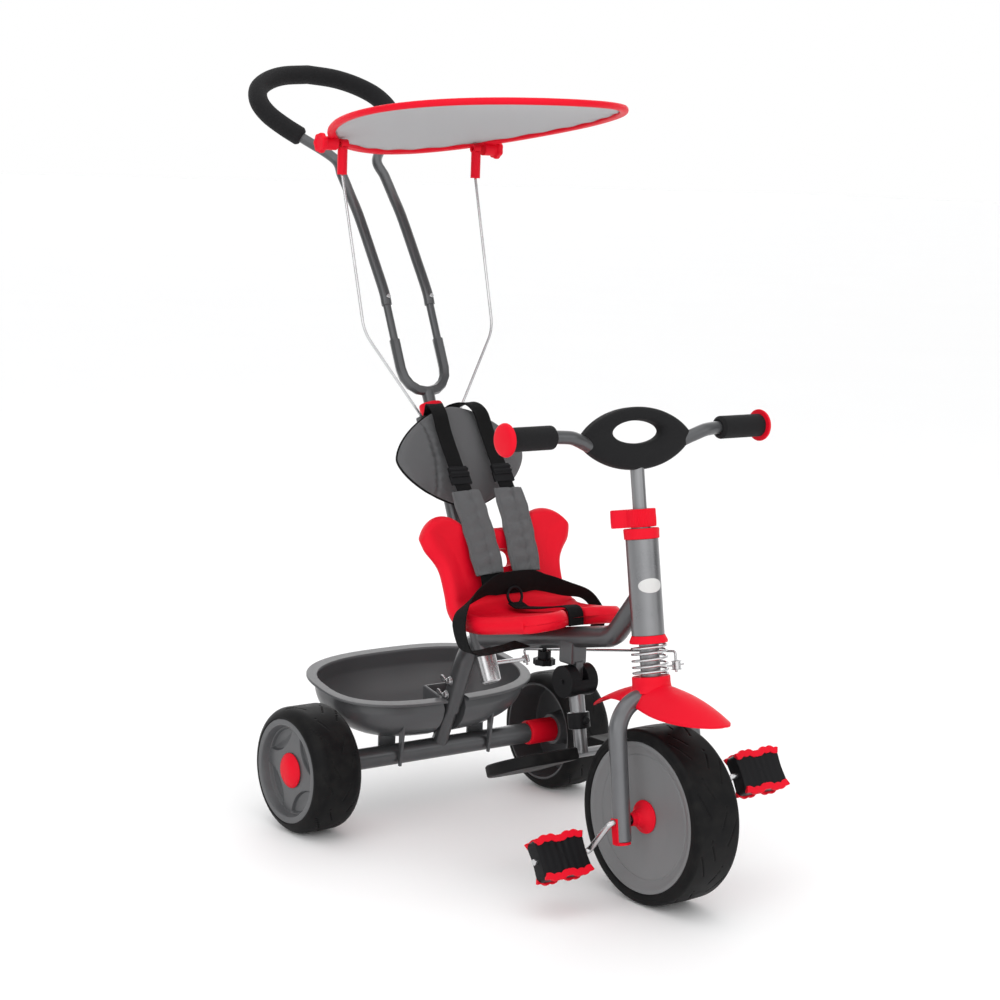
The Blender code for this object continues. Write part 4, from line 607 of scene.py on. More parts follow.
def crankPath():
    angle = math.radians(-57.6)
    y, z = 0.0486 * math.cos(angle), 0.0486 * math.sin(angle)
    corners = [(-0.182, y, z), (-0.0945, y, z), (-0.083, 0, 0), (0.083, 0, 0), (0.0945, -y, -z),
               (0.182, -y, -z)]
    return bentPath(corners, 0.0075, 12)


pedal = {
    "centre": 0.141,
    "size": (0.076, 0.056, 0.024),
    "turned": 58.5,
    "away": (0.02604, -0.04103),
    "squareness": 7,
    "waist": 0.05,
    "shorter": 0.02,
    "bow": 0.05,
    "faceIn": 0.0016,
    "round": 0.0022,
    "ribHeight": 0.00022,
    "ribPitch": 0.0105,
    "ribFrom": 0.0017,
    "stripWidth": 0.0085,
    "stripStands": 0.0016,
    "stripRound": 0.0009,
    "stripSunk": 0.0012,
    "stripDown": 0.0018,
    "stripInset": 0.0050,
    "stripShorter": 0.003,
    "lobes": 2,
    "lobeDepth": 0.0042,
    "lobeRound": 0.8,
    "lobeMiddle": 0.55,
    "bumps": 6,
    "bumpHeight": 0.0009,
}


# the pedal's own (x, length, thickness) turned about its spindle and moved to the crank's end
def pedalPlace(points, way):
    angle = math.radians(pedal["turned"])
    y, z = pedal["away"]
    points = np.asarray(points, float)
    moved = np.stack([points[..., 0] + way * pedal["centre"],
                      points[..., 1] * math.cos(angle) - points[..., 2] * math.sin(angle) - way * y,
                      points[..., 1] * math.sin(angle) + points[..., 2] * math.cos(angle) - way * z], -1)
    return placed(moved, "wheel")


# a closed outline given thickness: a rounded rim, and faces in rings to the middle, domed by the crown
def plateGrid(outline, halfThickness, edge, crown=0.0, rings=10, rimSteps=7):
    outline = np.asarray(outline, float)
    along = np.roll(outline, -1, 0) - np.roll(outline, 1, 0)
    along /= np.linalg.norm(along, axis=1, keepdims=True)
    outward = np.stack([along[:, 1], -along[:, 0]], 1)
    area = np.sum(outline[:, 0] * np.roll(outline[:, 1], -1) - np.roll(outline[:, 0], -1) * outline[:, 1])
    outward *= np.sign(area)
    bend = np.linspace(-math.pi / 2, math.pi / 2, rimSteps)[:, None, None]
    rim = outline - edge * (1 - np.cos(bend)) * outward
    rimHeight = np.where(bend < 0, -1, 1) * (halfThickness - edge) + edge * np.sin(bend) + 0 * rim[..., :1]
    rim = np.concatenate([rim, rimHeight], -1)
    middle = outline.mean(0)
    share = np.linspace(1, 0, rings + 1)[1:, None, None]
    flat = middle + (rim[-1, :, :2] - middle) * share
    height = halfThickness + crown * (1 - share ** 2) + 0 * flat[..., :1]
    top = np.concatenate([flat, height], -1)
    bottom = top[::-1] * (1, 1, -1)
    return np.concatenate([bottom, rim, top])


def makePedal(side, way):
    width, length, thickness = pedal["size"]
    # the body's edges: bowed in at the short sides, two shallow lobes along the long ones
    turn = np.linspace(0, tau, 192, endpoint=False)
    power = pedal["squareness"]
    square = (np.abs(np.cos(turn)) ** power + np.abs(np.sin(turn)) ** power) ** (-1 / power)
    x, y = square * np.cos(turn), square * np.sin(turn)
    waist = 1 - pedal["waist"] * np.cos(x * math.pi / 2) ** 2 * np.abs(y) - pedal["shorter"]
    bow = 1 - pedal["bow"] * np.cos(y * math.pi / 2) ** 2 * np.abs(x)
    outline = np.stack([x * bow * (width / 2), y * waist * (length / 2)], 1)
    grid = plateGrid(outline, thickness / 2 - pedal["faceIn"], pedal["round"])
    ribs = pedal["ribHeight"] * np.cos(grid[..., 0] * tau / pedal["ribPitch"])
    grid[..., 2] += np.sign(grid[..., 2]) * ribs * (np.abs(grid[..., 2]) > thickness / 2 - pedal["ribFrom"])
    mesh = gridMesh("pedalBody", pedalPlace(grid, way), filled=True)
    addPiece("pedalBody_" + side, mesh, "pedal_" + side, "black_plastic", ["pedal_" + side])
    for edgeWay, faceWay, name in ((1, 1, "farTop"), (1, -1, "farBottom"), (-1, 1, "nearTop"),
                                   (-1, -1, "nearBottom")):
        # a tread strip: a flat band whose middle line swings in lobes and whose ends round off
        share = np.linspace(0, 1, 73)
        lobes = np.abs(np.sin(share * math.pi * pedal["lobes"])) ** pedal["lobeRound"]
        bumps = pedal["bumpHeight"] * np.cos(share * tau * pedal["bumps"])
        middle = length / 2 - pedal["stripInset"] + pedal["lobeDepth"] * (lobes - pedal["lobeMiddle"]) + bumps
        path = np.stack([(share - 0.5) * (width - pedal["stripShorter"]), edgeWay * middle,
                         faceWay * (thickness / 2 - pedal["stripDown"]) + 0 * share], 1)
        stripThickness = 2 * pedal["stripStands"] + pedal["stripSunk"]
        grid = bandGrid(path, (0, 1, 0), pedal["stripWidth"], stripThickness, pedal["stripRound"])
        mesh = gridMesh("pedalStrip", pedalPlace(grid, way))
        addPiece("pedalStrip_" + name + "_" + side, mesh, "pedal_" + side, "red_plastic")


# a flat band carried along a path: its section is a slab with rounded edges, wide along one direction
def bandGrid(path, wide, width, thickness, edge=None, bow=0.0):
    path = np.asarray(path, float)
    sides, ups = carriedFrames(path, wide)
    edge = 0.45 * thickness if edge is None else edge
    widths = np.broadcast_to(np.asarray(width, float), len(path))
    turn = np.linspace(0, tau, 28, endpoint=False)
    corner = np.stack([np.cos(turn), np.sin(turn)], 1)
    steps = np.concatenate([[-1], np.linspace(-0.8, 0.8, 9), [1]])
    half = np.concatenate([corner[:8], np.stack([-steps[1:-1], 0 * steps[1:-1] + 9], 1), corner[7:15],
                           corner[14:22], np.stack([steps[1:-1], 0 * steps[1:-1] - 9], 1), corner[21:28]])
    flat = np.abs(half[:, 1]) > 2
    signs = np.concatenate([np.ones(8), np.zeros(9), -np.ones(8), -np.ones(8), np.zeros(9), np.ones(7)])
    ridge = np.concatenate([np.ones(8), np.zeros(9), np.ones(8), -np.ones(8), np.zeros(9), -np.ones(7)])
    inner = widths[:, None] / 2 - edge
    across = np.where(flat, half[:, 0] * inner, signs * inner + edge * half[:, 0])
    up = np.where(flat, np.sign(half[:, 1]) * thickness / 2,
                  ridge * (thickness / 2 - edge) + edge * half[:, 1])
    up = up + bow * (1 - (across / (widths[:, None] / 2)) ** 2)
    return path[:, None] + across[..., None] * sides[:, None] + up[..., None] * ups[:, None]


handlebar = {
    "radius": 0.0085,
    "points": [(0.030, 0.0040, 0.4590), (0.040, 0.0040, 0.4605), (0.062, 0.0030, 0.4665),
               (0.086, -0.0030, 0.4752),
               (0.098, -0.0070, 0.4795), (0.112, -0.009, 0.4835), (0.133, -0.0065, 0.4853),
               (0.142, -0.006, 0.4853),
               (0.170, -0.006, 0.4853), (0.208, -0.006, 0.4853)],
    "padHalf": (0.0915, 0.040),
    "padThickness": 0.024,
    "hole": (0.0405, 0.0145, 0.0082),
}


def makeBars():
    points = np.array(handlebar["points"])
    path = smoothPath(np.concatenate([points[::-1] * (-1, 1, 1), points[1:]]), 8)
    tubePiece("handlebarTube", path, handlebar["radius"], "steer", "handlebar", "grey_paint", ["handlebar"],
              40)
    tubePiece("stem", straight((0, 0, 0.292), (0, 0, 0.457), 12), 0.009, "steer", "handlebar", "silver_paint",
                     (), 40)
    for side, way in (("left", 1), ("right", -1)):
        grip = [(0.0087, 0.1370), (0.0112, 0.1370), (0.0148, 0.1405), (0.0150, 0.1418), (0.0150, 0.2088),
                (0.0148, 0.2090), (0.0087, 0.2090)]
        centre = (0, -0.006, 0.4853)
        piece = turnedPieceMirrored("barGrip_" + side, grip, way, centre, "black_foam", ["grip_" + side])
        cap = [(0, 0.2165), (0.006, 0.2163), (0.012, 0.2158), (0.0160, 0.2154), (0.0185, 0.2146),
               (0.0202, 0.2132),
               (0.0210, 0.2112), (0.0210, 0.2098), (0.0206, 0.2093), (0.0, 0.2093)]
        turnedPieceMirrored("endCap_" + side, cap, way, centre, "red_plastic", ["end_cap_" + side])


def turnedPieceMirrored(name, profile, way, centre, slot, nodes):
    grid = placed(turnedGrid(np.asarray(profile) * (1, way), "x", 96, centre), "steer")
    return addPiece(name, gridMesh(name, grid, True, True), "handlebar", slot, nodes, 0.0004)


# the pad: a leaf drawn as a ring of sections round its oval hole, swelling and easing off towards both rims
def makeBarPad():
    halfLength, halfHeight = handlebar["padHalf"]
    holeLength, holeHeight, holeUp = handlebar["hole"]
    turn = np.linspace(0, tau, 256, endpoint=False)
    outer = np.stack([halfLength * np.cos(turn), halfHeight * np.sin(turn) * np.abs(np.sin(turn)) ** 0.45], 1)
    inner = np.stack([holeLength * np.cos(turn), holeUp + holeHeight * np.sin(turn)], 1)
    section = np.linspace(0, tau, 56, endpoint=False)
    across = 0.5 - 0.5 * np.sign(np.cos(section)) * np.abs(np.cos(section)) ** 0.75
    swell = np.sign(np.sin(section)) * np.abs(np.sin(section)) ** 0.55 * handlebar["padThickness"] / 2
    flat = outer[:, None] + (inner - outer)[:, None] * across[None, :, None]
    depth = swell[None] * (1 - 0.22 * (np.abs(flat[..., 0]) / halfLength) ** 2)
    grid = np.stack([flat[..., 0], depth, 0.4780 + flat[..., 1]], -1)
    mesh = gridMesh("barPad", placed(grid, "steer"), True, True)
    piece = addPiece("barPad", mesh, "handlebar", "black_foam", ["bar_pad"])


def makeFork():
    legs = bentPath(fork["legs"], fork["crownBend"], 24)
    tubePiece("forkLegs", legs, fork["legRadius"], "steer", "fork", "fork_silver", ["fork"], 48,
              side=(0, 1, 0))
    turnedPiece("steererTube", fork["tube"], "steer", "fork", "silver_paint", (), "z", steps=64)
    tubePiece("steeringPin", straight(*fork["pin"]), fork["pinRadius"], "steer", "fork", "chrome", (), 16,
              0.0002)
    turnedPiece("steeringEye", fork["eye"], "steer", "fork", "chrome", (), "z", fork["eyeAt"], 40, 0.0003)
    inner, outer, thick = fork["washer"]
    for height in fork["washerHeights"]:
        nut = [(inner, height), (outer, height), (outer, height + thick), (inner, height + thick)]
        turnedPiece("eyeWasher_%d" % (height * 1e4), nut, "steer", "fork", "chrome", (), "z",
                    fork["eyeAt"], 40, 0.0002)


makeSpring()
tubePiece("crankRod", crankPath(), 0.004, "wheel", "front_wheel", "chrome", ["crankshaft"], 32, 0.0004)
for side, way in (("left", 1), ("right", -1)):
    makePedal(side, way)
makeFork()
makeBars()
makeBarPad()
print("steering made")


# the fender: a leaf over the wheel whose ridge falls to both points and whose sides bend down
def makeFender():
    share = np.linspace(-0.1108, 0.1390, 120)
    front = np.clip((0.004 - share) / 0.1148, 0, 1)
    rear = np.clip((share - 0.004) / 0.1354, 0, 1)
    ridge = 0.2795 - 0.0265 * front ** 2.2 - 0.0525 * rear ** 1.7
    narrow = np.where(share < -0.020, np.sqrt(np.clip(1 - ((-0.020 - share) / 0.0912) ** 2, 0, 1)),
                      1 - np.clip((share + 0.020) / 0.160, 0, 1) ** 1.7)
    half = 0.040 * narrow + 0.0004
    around = np.linspace(-1, 1, 49)
    x = half[:, None] * np.sin(around * math.pi / 2)
    y = share[:, None] + 0 * x
    top = ridge[:, None] - 17 * x ** 2
    shell = np.stack([x, y, top], -1)
    under = shell[:, ::-1] - (0, 0, 0.0028)
    grid = placed(np.concatenate([shell, under], 1), "root")
    addPiece("fender", gridMesh("fender", grid), "fork", "red_plastic", ["fender"], 0.0008, 3, 40)
    collar = [(0.0129, 0.1560), (0.0290, 0.1560), (0.0268, 0.1590), (0.0252, 0.1622), (0.0246, 0.1660),
              (0.0245, 0.1745), (0.0240, 0.1760), (0.0129, 0.1760)]
    turnedPiece("fenderCollar", collar, "steer", "fork", "red_plastic", (), "z", steps=96)


def makeHead():
    turnedPiece("headTube", [(0.019, 0.2283), (0.021, 0.2283), (0.021, 0.3503), (0.019, 0.3503)], "steer",
                "frame",
                "silver_bright", ["head_tube"], "z", steps=96, edge=0.0004)
    lower = [(0.013, 0.218), (0.0238, 0.218), (0.0245, 0.2187), (0.0245, 0.2210), (0.0240, 0.2225),
             (0.0222, 0.2262),
             (0.0215, 0.2280), (0.0187, 0.2280), (0.0187, 0.2403), (0.0130, 0.2403)]
    turnedPiece("lowerCollar", lower, "steer", "headset", "red_plastic", ["lower_collar"], "z", steps=96)
    upper = [(0.013, 0.364), (0.0222, 0.364), (0.0230, 0.3625), (0.0225, 0.3506), (0.0187, 0.3506),
             (0.0187, 0.3385),
             (0.0130, 0.3385)]
    turnedPiece("upperCollar", upper, "steer", "frame", "red_plastic", ["upper_collar"], "z", steps=96)
    # a plain oval badge that bends round the front of the head tube
    turn = np.linspace(0, tau, 72, endpoint=False)[None]
    rings = np.linspace(0, 1, 9)[:, None]
    bend = -1.90 + 0.80 * rings * np.cos(turn)
    rise = 0.2915 + 0.0092 * rings * np.sin(turn)
    radius = 0.0211 + 0.0005 * np.sqrt(1 - rings ** 2 * 0.98) + 0 * turn
    face = np.stack([radius * np.cos(bend), radius * np.sin(bend), rise], -1)
    back = face[-1:] * (0.985, 0.985, 1)
    grid = placed(np.concatenate([face, back, back.mean(1, keepdims=True) + 0 * back]), "steer")
    addPiece("plainBadge", gridMesh("plainBadge", grid, filled=False), "frame", "pale_badge")


# the clamp: a ring with a lever lobe swelling to one side and fine grip ribs on the other
def makeClamp():
    turn = np.linspace(0, tau, 288, endpoint=False)[:, None]
    toward = math.radians(135)
    apart = (turn - toward + math.pi) % tau - math.pi
    lobe = 0.0185 * np.exp(-(apart / 0.42) ** 4)
    ribs = 0.0004 * np.cos(turn * 60) * (np.abs(apart) > 1.0)
    outer = 0.0195 + lobe + ribs
    levels = np.array([(0.0130, 0.3655, 0), (0.0150, 0.3655, 0.2), (0.0, 0.3655, -0.0008), (0.0, 0.3664, 0.0),
                       (0.0, 0.3740, 0.0003), (0.0, 0.3876, 0.0), (0.0, 0.3885, -0.0009),
                       (0.0150, 0.3885, 0.2),
                       (0.0130, 0.3885, 0)])
    radius = np.where(levels[None, :, 0] > 0, levels[None, :, 0], outer + levels[None, :, 2])
    height = levels[None, :, 1] + 0 * radius
    grid = np.stack([radius * np.cos(turn), radius * np.sin(turn), height], -1)
    mesh = gridMesh("stemClamp", placed(grid, "steer"), True, True)
    addPiece("stemClamp", mesh, bodyOf["stem_clamp"],
             "red_plastic", ["stem_clamp"], 0.0003)


def spineHeight(y):
    return np.interp(y, (0.104, 0.412), (0.3235, 0.2596))


# the loop of the push bar and its legs
loopPoints = [(0.0375, 0.735), (0.074, 0.767), (0.093, 0.783), (0.109, 0.801), (0.1145, 0.819),
              (0.109, 0.836),
              (0.096, 0.849), (0.072, 0.861), (0.042, 0.869), (0, 0.873)]
legPoints = [(0.6253, 0.7785), (0.6651, 0.8377), (0.6907, 0.8695), (0.7137, 0.8974)]


def makePushBar():
    right = np.array([(x, y, 0.9285 + 0.9 * (y - 0.7439)) for x, y in loopPoints])
    seam = placed(np.array([(0.0375, 0, 0.546), (0.0375, 0, 0.568)]), "post") - placed((0, 0, 0), "root")
    legs = np.array([(0.0375, y, z) for y, z in legPoints])
    half = smoothPath(np.concatenate([seam, legs, right]), 10)
    path = np.concatenate([half, (half * (-1, 1, 1))[::-1][1:]])
    path = placed(path, "root")
    tubePiece("pushBarUpper", path, 0.0075, "row", "push_bar", "grey_paint", ["push_bar_upper"], 36)
    wide = np.abs(path[:, 0]) > 0.0725
    spans = np.flatnonzero(wide)
    first, last = spans[0], spans[-1]
    foam = path[first:last + 1]
    grid = tubeGrid(foam, 0.0140, 40, None, 0.0030)
    piece = addPiece("foamGrip", gridMesh("foamGrip", grid), "push_bar", "black_foam", ["foam_grip"], 0.0006)


def makeWires():
    for side, way in (("left", 1), ("right", -1)):
        corners = [(way * 0.0316, 0.5041, 0.5660), (way * 0.1116, 0.5351, 0.6843),
                   (way * 0.1156, 0.594, 0.9009)]
        corners = np.array(corners)
        foot = corners[1] - corners[0]
        head = corners[2] - corners[1]
        corners[0] -= 0.012 * foot / np.linalg.norm(foot)
        corners[2] += 0.022 * head / np.linalg.norm(head)
        path = placed(bentPath(corners, 0.060, 20), "root")
        tubePiece("canopyWire_" + side, path, 0.002, "row", bodyOf["canopy_wire_" + side], "chrome",
                  ["canopy_wire_" + side], 20, 0.0003)


slotOf = {part["node"]: part["material_slot"] for part in frame["record"]["subparts"]}
bodyOf = {node: body for body, members in frame["record"]["behaviour"]["bodies"].items() for node in members}
wingBolt = {
    "profile": [(0, 0.0075), (0.0022, 0.0073), (0.0036, 0.0062), (0.0040, 0.0045), (0.0040, 0.0008),
                (0.0062, 0.0006), (0.0064, 0), (0, 0)],
    "edge": 0.0002,
    "earHalf": (0.0058, 0.0042),
    "earSwell": 0.25,
    "earThickness": 0.0009,
    "earRound": 0.0007,
    "earSide": 0.0072,
    "earOut": 0.0055,
    "earFlare": 0.25,
    "earTwist": 0.1,
    "earRise": 0.8,
    "lean": 0.55,
}


# a wing bolt: a domed head with two flat ears, its shank pointing into what it holds
def makeWingBolt(name, at, way):
    grid = placed(turnedGrid(np.array(wingBolt["profile"]) * (1, way), "x", 40, at), "root")
    addPiece(name, gridMesh(name, grid, True, True), "frame", "chrome", (), wingBolt["edge"])
    turn = np.linspace(0, tau, 48, endpoint=False)
    halfLength, halfHeight = wingBolt["earHalf"]
    for ear in (1, -1):
        swell = 1 + wingBolt["earSwell"] * np.cos(turn)
        outline = np.stack([halfLength * np.cos(turn), halfHeight * np.sin(turn) * swell], 1)
        grid = plateGrid(outline, wingBolt["earThickness"], wingBolt["earRound"], rings=3, rimSteps=5)
        lean = ear * wingBolt["lean"]
        y, z = grid[..., 0] + ear * wingBolt["earSide"], grid[..., 1]
        outward = way * wingBolt["earOut"] + grid[..., 2] + way * wingBolt["earFlare"] * np.abs(y)
        across = y * math.cos(lean) - z * ear * wingBolt["earTwist"]
        up = z + np.abs(y) * math.sin(abs(lean)) * wingBolt["earRise"]
        turned = np.stack([outward, across, up], -1)
        mesh = gridMesh(name, placed(turned + np.array(at), "root"))
        addPiece(name + ("EarFore" if ear < 0 else "EarAft"), mesh, "frame", "chrome", (), 0.0)


makeWingBolt("notchBoltUpper", (-0.0142, 0.4405, 0.1960), -1)
makeWingBolt("notchBoltLower", (-0.0142, 0.4490, 0.1740), -1)
makeFender()
makeHead()
makeClamp()
makePushBar()
makeWires()
heightStop = {
    "ring": [(0.0104, -0.064), (0.0149, -0.064), (0.0149, -0.0425), (0.0104, -0.0425)],
    "ringEdge": 0.0014,
    "button": [(0, 0.0190), (0.0040, 0.0187), (0.0052, 0.0175), (0.0052, 0.0130), (0, 0.0130)],
    "buttonAt": (0, 0, -0.0535),
}
postBody = bodyOf["footrest_post"]
turnedPiece("heightRing", heightStop["ring"], "foot", postBody, "black_plastic", (), "z", steps=72,
            edge=heightStop["ringEdge"])
turnedPiece("heightButton", np.array(heightStop["button"]) * (1, -1), "foot", postBody, "black_plastic",
            (), "y", heightStop["buttonAt"], 40)
print("frame made")


# the measured map of a grid piece: the distance run across and along it, in metres
def measuredMap(grid, repeat=20.0):
    along = np.linalg.norm(np.diff(grid, axis=0), axis=2)
    across = np.linalg.norm(np.diff(grid, axis=1), axis=2)
    v = np.concatenate([np.zeros((1, grid.shape[1])), np.cumsum(along, 0)])
    u = np.concatenate([np.zeros((grid.shape[0], 1)), np.cumsum(across, 1)], 1)
    return np.stack([u - u.mean(1, keepdims=True), v.mean(1, keepdims=True) + 0 * v], -1) * repeat


seat = {
    "middle": [(0.163, None), (0.200, None), (0.240, None), (0.280, None), (0.312, 0.3115), (0.3325, 0.3225),
               (0.3435, 0.3400), (0.3520, 0.3600), (0.3600, 0.3820), (0.3690, 0.4060), (0.3840, 0.4440)],
    "thickness": 0.022,
    "widthAt": (0, 0.10, 0.28, 0.48, 0.62, 0.74, 0.88, 1),
    "widths": (0.0805, 0.090, 0.104, 0.105, 0.099, 0.101, 0.121, 0.1275),
    "rim": 0.0012,
    "dish": 0.0022,
    "slotTilt": -0.35,
}


# the rounded slot through the back, as a cutter
def slotMesh():
    turn = np.linspace(0, tau, 72, endpoint=False)
    outline = np.stack([0.025 * np.sign(np.cos(turn)) * np.abs(np.cos(turn)) ** 0.55,
                        0.013 * np.sign(np.sin(turn)) * np.abs(np.sin(turn)) ** 0.75], 1)
    depth = np.linspace(-0.05, 0.05, 2)[:, None]
    flat = np.stack([outline[:, 0] + 0 * depth, depth + 0 * outline[:, 0], outline[:, 1] + 0 * depth], -1)
    cosine, sine = math.cos(seat["slotTilt"]), math.sin(seat["slotTilt"])
    y, z = flat[..., 1] * cosine - flat[..., 2] * sine, flat[..., 1] * sine + flat[..., 2] * cosine
    return gridMesh("slot", placed(np.stack([flat[..., 0], y + 0.360, z + 0.3835], -1), "root"))


# one closed mesh cut by another
def cutMesh(mesh, cutter):
    body = bpy.data.objects.new("body", tidiedMesh(mesh))
    tool = bpy.data.objects.new("tool", tidiedMesh(cutter))
    for item in (body, tool):
        scene.collection.objects.link(item)
    cut = body.modifiers.new("cut", "BOOLEAN")
    cut.operation = "DIFFERENCE"
    cut.solver = "EXACT"
    cut.object = tool
    view = bpy.context.evaluated_depsgraph_get()
    result = bpy.data.meshes.new_from_object(body.evaluated_get(view))
    for item in (body, tool):
        bpy.data.objects.remove(item)
    return result


# the seat: a slab carried up its middle line, its width changing, its rim raised and its middle dished
def makeSeat():
    rows = [(y, spineHeight(y) + 0.02645 if z is None else z) for y, z in seat["middle"]]
    middle = smoothPath(np.array(rows, dtype=float), 40)
    lengths = np.concatenate([[0], np.cumsum(np.linalg.norm(np.diff(middle, axis=0), axis=1))])
    share = np.sin(np.linspace(-1, 1, 181) * math.pi / 2)[:, None] * 0.5 + 0.5
    u = np.sin(np.linspace(-1, 1, 121) * math.pi / 2)[None]
    fine = np.linspace(0, 1, 400)
    widths = np.interp(fine, seat["widthAt"], seat["widths"])
    kernel = np.hanning(61)
    widths = np.convolve(np.pad(widths, 30, "edge"), kernel / kernel.sum(), "valid")
    x = np.interp(share, fine, widths) * u
    frontLobe = 0.038 * (1 - np.sqrt(np.clip(1 - ((np.abs(x) - 0.046) / 0.0345) ** 2, 0, 1)))
    frontLobe = np.minimum(frontLobe, 0.030)
    ears = 0.402 + 0.042 * np.sqrt(np.clip(1 - ((np.abs(x) - 0.085) / 0.0435) ** 2, 0, 1))
    ears = np.where(np.abs(x) < 0.085, np.maximum(ears, 0.4235), ears)
    tail = lengths > 0.16
    end = np.interp(ears, middle[tail, 1], lengths[tail])
    along = frontLobe + (end - frontLobe) * share
    y, z = np.interp(along, lengths, middle[:, 0]), np.interp(along, lengths, middle[:, 1])
    slopes = np.gradient(middle, lengths, axis=0)
    slopeY, slopeZ = np.interp(along, lengths, slopes[:, 0]), np.interp(along, lengths, slopes[:, 1])
    size = np.hypot(slopeY, slopeZ)
    normalY, normalZ = -slopeZ / size, slopeY / size
    base = np.clip(1 - along / 0.150, 0, 1)
    spread = np.abs(x) / 0.1275
    lift = -0.016 * spread ** 2.4 * np.sqrt(base) + 0.009 * spread ** 2 * (1 - base)
    sideGap = (1 - np.abs(u)) * np.abs(x[:, -1:]) + 0 * share
    endGap = np.minimum(along - frontLobe, end - along)
    gap = np.minimum(sideGap, endGap)
    half = seat["thickness"] / 2
    roundedOff = half * np.sqrt(np.clip(1 - (1 - np.clip(gap / half, 0, 1)) ** 2, 0, 1))
    ridge = seat["rim"] * np.exp(-((gap - 0.010) / 0.008) ** 2)
    dish = seat["dish"] * eased(gap, 0.014, 0.034)
    topUp, lowUp = lift + roundedOff + ridge - dish, lift - roundedOff
    top = np.stack([x, y + normalY * topUp, z + normalZ * topUp], -1)
    low = np.stack([x, y + normalY * lowUp, z + normalZ * lowUp], -1)
    grid = np.concatenate([top, low[:, ::-1]], 1)
    mesh = cutMesh(gridMesh("seatShell", placed(grid, "root")), slotMesh())
    addPiece("seatShell", mesh, bodyOf["seat_shell"], "red_plastic", ["seat_shell"], 0.0025, 3, 50)


def makeHeadrest():
    turn = np.linspace(0, tau, 360, endpoint=False)
    power = 2 / 1.55
    x = 0.1077 * np.sign(np.cos(turn)) * np.abs(np.cos(turn)) ** power
    z = 0.0728 * np.sign(np.sin(turn)) * np.abs(np.sin(turn)) ** power
    bend = np.linspace(-math.pi / 2, math.pi / 2, 97)[:, None]
    share = np.cos(bend) ** 0.75
    swell = 0.0170 * np.sign(np.sin(bend)) * np.abs(np.sin(bend)) ** 0.62
    # fullest in the middle panel; two curved seams sink in beside it, and small puckers run off them
    flatX, flatZ = x * share, z * share
    seamAt = 0.052 + 0.010 * (flatZ / 0.0728) ** 2
    seam = np.exp(-((np.abs(flatX) - seamAt) / 0.0024) ** 2)
    pucker = np.exp(-((np.abs(flatX) - seamAt) / 0.010) ** 2) * np.cos(flatZ * tau / 0.0125)
    wrinkle = 0.0011 * np.sin(flatX * 95 + 2.0 * np.sin(flatZ * 60)) * np.cos(flatZ * 70 + 1.3)
    fullness = swell * (1 - 0.25 * (flatX / 0.1077) ** 2) + wrinkle * np.sin(bend)
    faded = np.clip(np.abs(swell) / 0.008, 0, 1)
    depth = fullness - np.sign(swell) * (0.0034 * seam + 0.0006 * pucker) * faded
    grid = np.stack([flatX, -0.0423 + depth, 0.3048 + flatZ], -1)
    uv = np.stack([flatX, flatZ], -1) * 20
    mesh = gridMesh("headCushion", placed(grid, "post"), uv=uv)
    piece = addPiece("headCushion", mesh, bodyOf["headrest"], "grey_cloth", ["headrest"])
    # piping sewn round the edge, a thin cord of cloth
    ring = np.stack([x * 1.0, -0.0423 + 0 * x, 0.3048 + z], -1)
    piping = tubeGrid(np.concatenate([ring, ring[:1]])[:-1], 0.0017, 10)
    mesh = gridMesh("piping", placed(piping, "post"), True, True, uv=measuredMap(piping))
    addPiece("headrestPiping", mesh, bodyOf["headrest"], "black_webbing")


def webbing(name, path, wide, width, body, nodes=(), thickness=0.0018, slot="black_webbing", bow=0.0):
    grid = bandGrid(path, wide, width, thickness, None, bow)
    mesh = gridMesh(name, grid, uv=measuredMap(grid))
    return addPiece(name, mesh, body, slot, nodes)


def postPath(points, way, perSpan=10):
    points = np.array(points) * (way, 1, 1)
    return placed(smoothPath(points, perSpan), "post")


def makeShoulderStrap(side, way):
    node = "shoulder_strap_" + side
    body = bodyOf[node]
    upper = [(0.0137, -0.0140, 0.3765), (0.0190, -0.0300, 0.3830), (0.0300, -0.0500, 0.3805),
             (0.0350, -0.0635, 0.3640), (0.0365, -0.0670, 0.3350), (0.0365, -0.0730, 0.3000),
             (0.0367, -0.0770, 0.2810), (0.0367, -0.0785, 0.2740)]
    webbing("shoulderWebUpper_" + side, postPath(upper, way), (1, 0, 0), 0.025, body)
    middle = [(0.0367, -0.0800, 0.2620), (0.0368, -0.0822, 0.2550), (0.0367, -0.0850, 0.2440),
              (0.0366, -0.0856, 0.2380)]
    webbing("shoulderWebMiddle_" + side, postPath(middle, way), (1, 0, 0), 0.025, body)
    # the pad: a folded sleeve of cloth, fullest in the middle, creased lengthwise, with soft cross folds
    core = postPath([(0.0366, -0.0852, 0.2450), (0.0350, -0.0905, 0.2050), (0.0330, -0.0925, 0.1650),
                     (0.0312, -0.0925, 0.1240)], way, 34)
    share = np.linspace(0, 1, len(core))
    width = 0.050 - 0.0012 * np.sin(share * tau * 3.5) - 0.004 * (np.abs(2 * share - 1) ** 12)
    thick = 0.0070 * (1 - 0.35 * np.abs(2 * share - 1) ** 6)
    grid = pillowBand(core, (1, 0, 0), width, thick)
    mesh = gridMesh("shoulderPad", grid, uv=measuredMap(grid))
    pad = addPiece("shoulderPad_" + side, mesh, body, "grey_cloth", [node])
    lower = [(0.0311, -0.0924, 0.1290), (0.0310, -0.0924, 0.1230), (0.0305, -0.0912, 0.1150),
             (0.0300, -0.0900, 0.1075)]
    webbing("shoulderTab_" + side, postPath(lower, way), (1, 0, 0), 0.034, body)
    makeBuckle(side, way, body)


